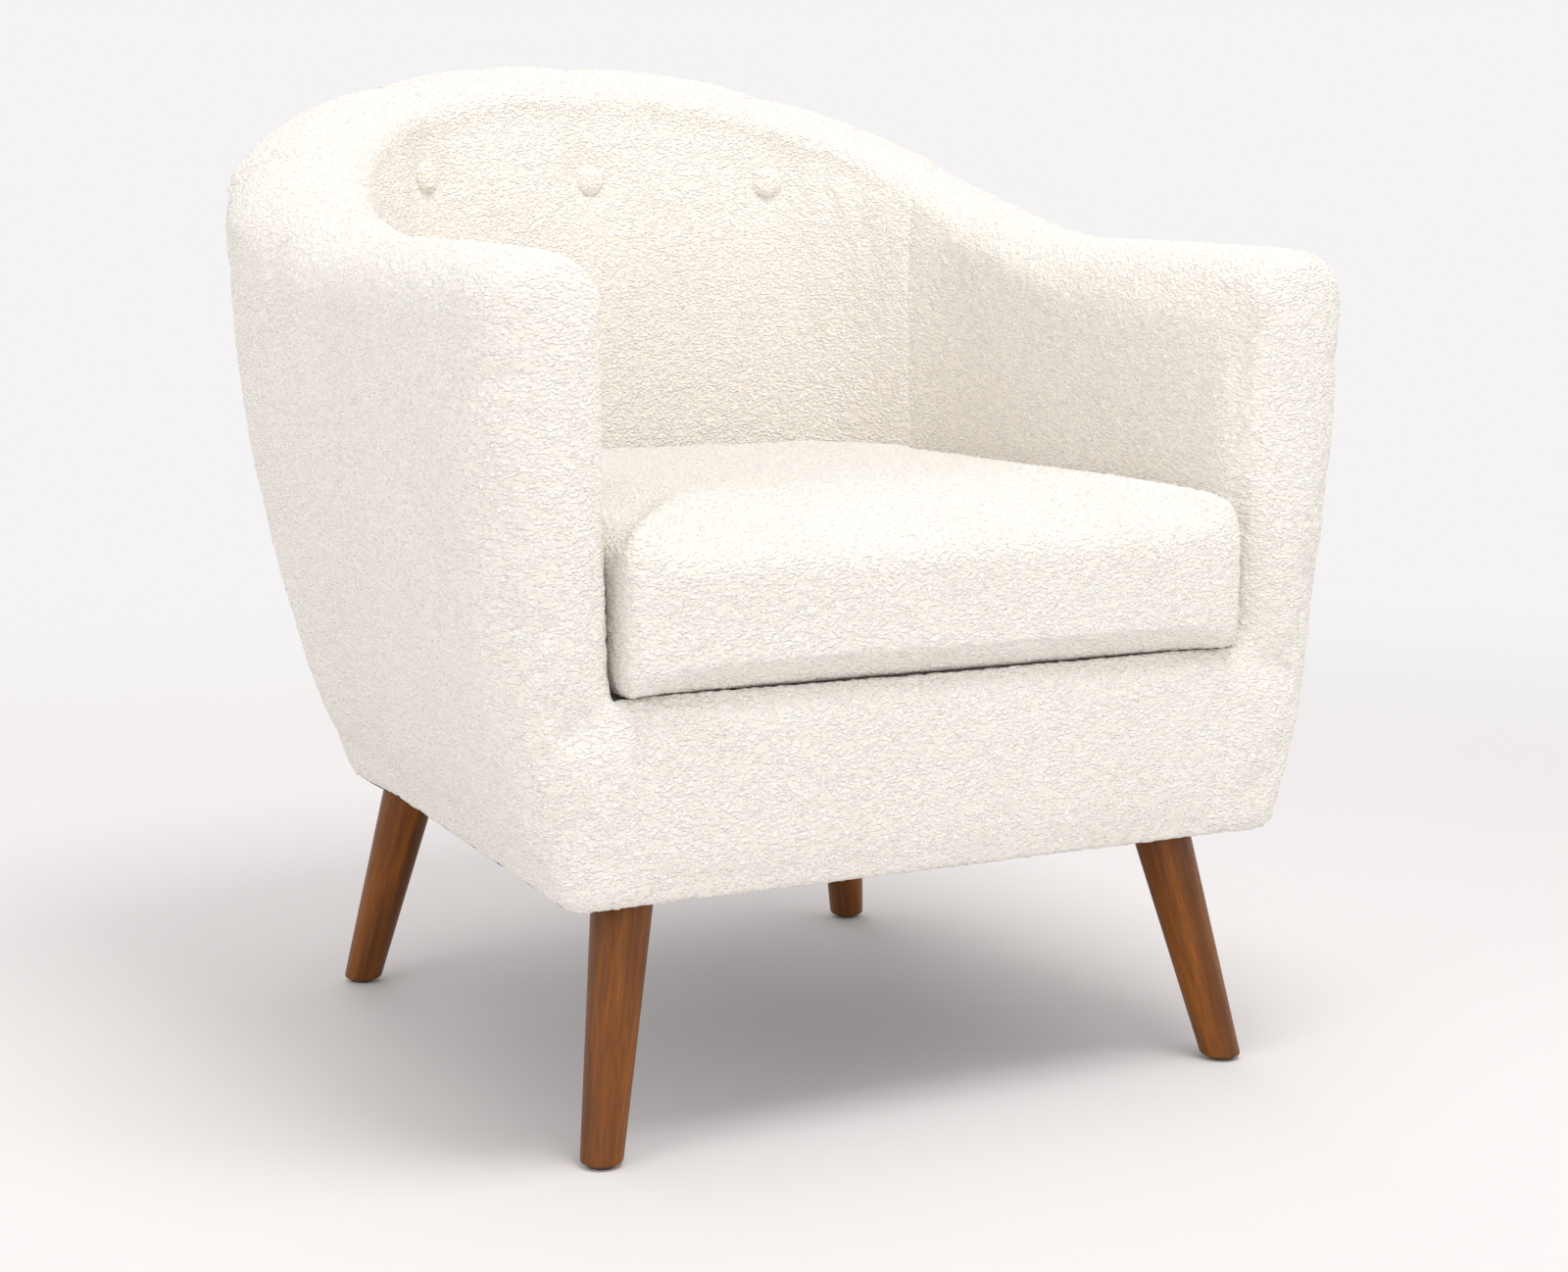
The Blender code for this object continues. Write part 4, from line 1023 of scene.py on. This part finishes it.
def make_stage():
    bpy.context.scene.view_settings.view_transform = "Standard"
    make_floor()
    make_surround()
    make_lamps()
    make_camera()


# ---------------------------------------------------------------- add-on

def colour_property(name, description, text):
    return bpy.props.FloatVectorProperty(name=name, description=description, subtype="COLOR", size=4,
                                         min=0.0, max=1.0, default=hex_colour(text))


class ArmchairSizes(bpy.types.PropertyGroup):
    """Sizes of the soft pieces that a user may change."""
    skin_pitch: bpy.props.FloatProperty(
        name="Skin pitch", description="Spacing of the padded skins before they are made finer",
        default=0.0065, min=0.004, max=0.012, unit="LENGTH")
    nub_height: bpy.props.FloatProperty(
        name="Nub height", description="How far the boucle's loops stand up in the mesh",
        default=0.0012, min=0.0, max=0.004, unit="LENGTH")
    button_radius: bpy.props.FloatProperty(
        name="Button radius", description="Radius of the covered buttons",
        default=0.0145, min=0.008, max=0.025, unit="LENGTH")


class ArmchairColours(bpy.types.PropertyGroup):
    """Colours of the visible finishes."""
    # painted light and shade: the boucle's lit loop tops and its shaded hollows are two colours of one
    # ivory cloth
    boucle_light: colour_property("Boucle loops", "Colour of the loops' lit tops", "#FAF8F3")
    boucle_shade: colour_property("Boucle hollows", "Colour between the loops", "#E8E0D4")
    walnut_light: colour_property("Walnut", "Main colour of the stained legs", "#8C5014")
    walnut_dark: colour_property("Walnut grain", "Colour of the legs' grain", "#552F0C")


class ARMCHAIR_OT_arms(bpy.types.Operator):
    """Build both padded arms"""
    bl_idname = "armchair.arms"
    bl_label = "Arm covers"

    def execute(self, context):
        make_arms()
        return {"FINISHED"}


class ARMCHAIR_OT_inside_back(bpy.types.Operator):
    """Build the buttoned inside back with its crest roll"""
    bl_idname = "armchair.inside_back"
    bl_label = "Inside back"

    def execute(self, context):
        make_inside_back()
        return {"FINISHED"}


class ARMCHAIR_OT_outside_back(bpy.types.Operator):
    """Build the outside back panel"""
    bl_idname = "armchair.outside_back"
    bl_label = "Outside back"

    def execute(self, context):
        make_outside_back()
        return {"FINISHED"}


class ARMCHAIR_OT_front_rail(bpy.types.Operator):
    """Build the front rail's cover"""
    bl_idname = "armchair.front_rail"
    bl_label = "Front rail"

    def execute(self, context):
        make_front_rail()
        return {"FINISHED"}


class ARMCHAIR_OT_deck(bpy.types.Operator):
    """Build the platform under the cushion"""
    bl_idname = "armchair.deck"
    bl_label = "Seat deck"

    def execute(self, context):
        make_deck()
        return {"FINISHED"}


class ARMCHAIR_OT_cushion(bpy.types.Operator):
    """Build the loose seat cushion and its foam"""
    bl_idname = "armchair.cushion"
    bl_label = "Seat cushion"

    def execute(self, context):
        make_cushion()
        return {"FINISHED"}


class ARMCHAIR_OT_buttons(bpy.types.Operator):
    """Build the covered buttons of the inside back"""
    bl_idname = "armchair.buttons"
    bl_label = "Buttons"

    def execute(self, context):
        make_buttons()
        return {"FINISHED"}


class ARMCHAIR_OT_legs(bpy.types.Operator):
    """Build the turned legs"""
    bl_idname = "armchair.legs"
    bl_label = "Legs"

    def execute(self, context):
        make_legs()
        return {"FINISHED"}


class ARMCHAIR_OT_hardware(bpy.types.Operator):
    """Finish the frame, springs, bolts, glides and zip"""
    bl_idname = "armchair.hardware"
    bl_label = "Frame and hardware"

    def execute(self, context):
        finish_hardware()
        return {"FINISHED"}


class ARMCHAIR_OT_stage(bpy.types.Operator):
    """Set up the floor, soft lights and camera"""
    bl_idname = "armchair.stage"
    bl_label = "Stage"

    def execute(self, context):
        make_stage()
        return {"FINISHED"}


OPERATORS = (ARMCHAIR_OT_arms, ARMCHAIR_OT_inside_back, ARMCHAIR_OT_outside_back,
             ARMCHAIR_OT_front_rail, ARMCHAIR_OT_deck, ARMCHAIR_OT_cushion, ARMCHAIR_OT_buttons,
             ARMCHAIR_OT_legs, ARMCHAIR_OT_hardware, ARMCHAIR_OT_stage)


class ARMCHAIR_PT_sidebar(bpy.types.Panel):
    """Sidebar panel with the armchair's pieces, sizes and colours."""
    bl_idname = "ARMCHAIR_PT_sidebar"
    bl_label = "Armchair"
    bl_space_type = "VIEW_3D"
    bl_region_type = "UI"
    bl_category = "Armchair"

    def draw(self, context):
        for group in (context.scene.armchair_sizes, context.scene.armchair_colours):
            for name in group.__annotations__:
                self.layout.prop(group, name)
        for operator in OPERATORS:
            self.layout.operator(operator.bl_idname)


CLASSES = (ArmchairSizes, ArmchairColours, *OPERATORS, ARMCHAIR_PT_sidebar)


def register():
    for cls in CLASSES:
        bpy.utils.register_class(cls)
    bpy.types.Scene.armchair_sizes = bpy.props.PointerProperty(type=ArmchairSizes)
    bpy.types.Scene.armchair_colours = bpy.props.PointerProperty(type=ArmchairColours)


def unregister():
    del bpy.types.Scene.armchair_colours
    del bpy.types.Scene.armchair_sizes
    for cls in reversed(CLASSES):
        bpy.utils.unregister_class(cls)


def main():
    register()
    for operator in OPERATORS:
        group, name = operator.bl_idname.split(".")
        getattr(getattr(bpy.ops, group), name)()


if __name__ == "__main__":
    main()
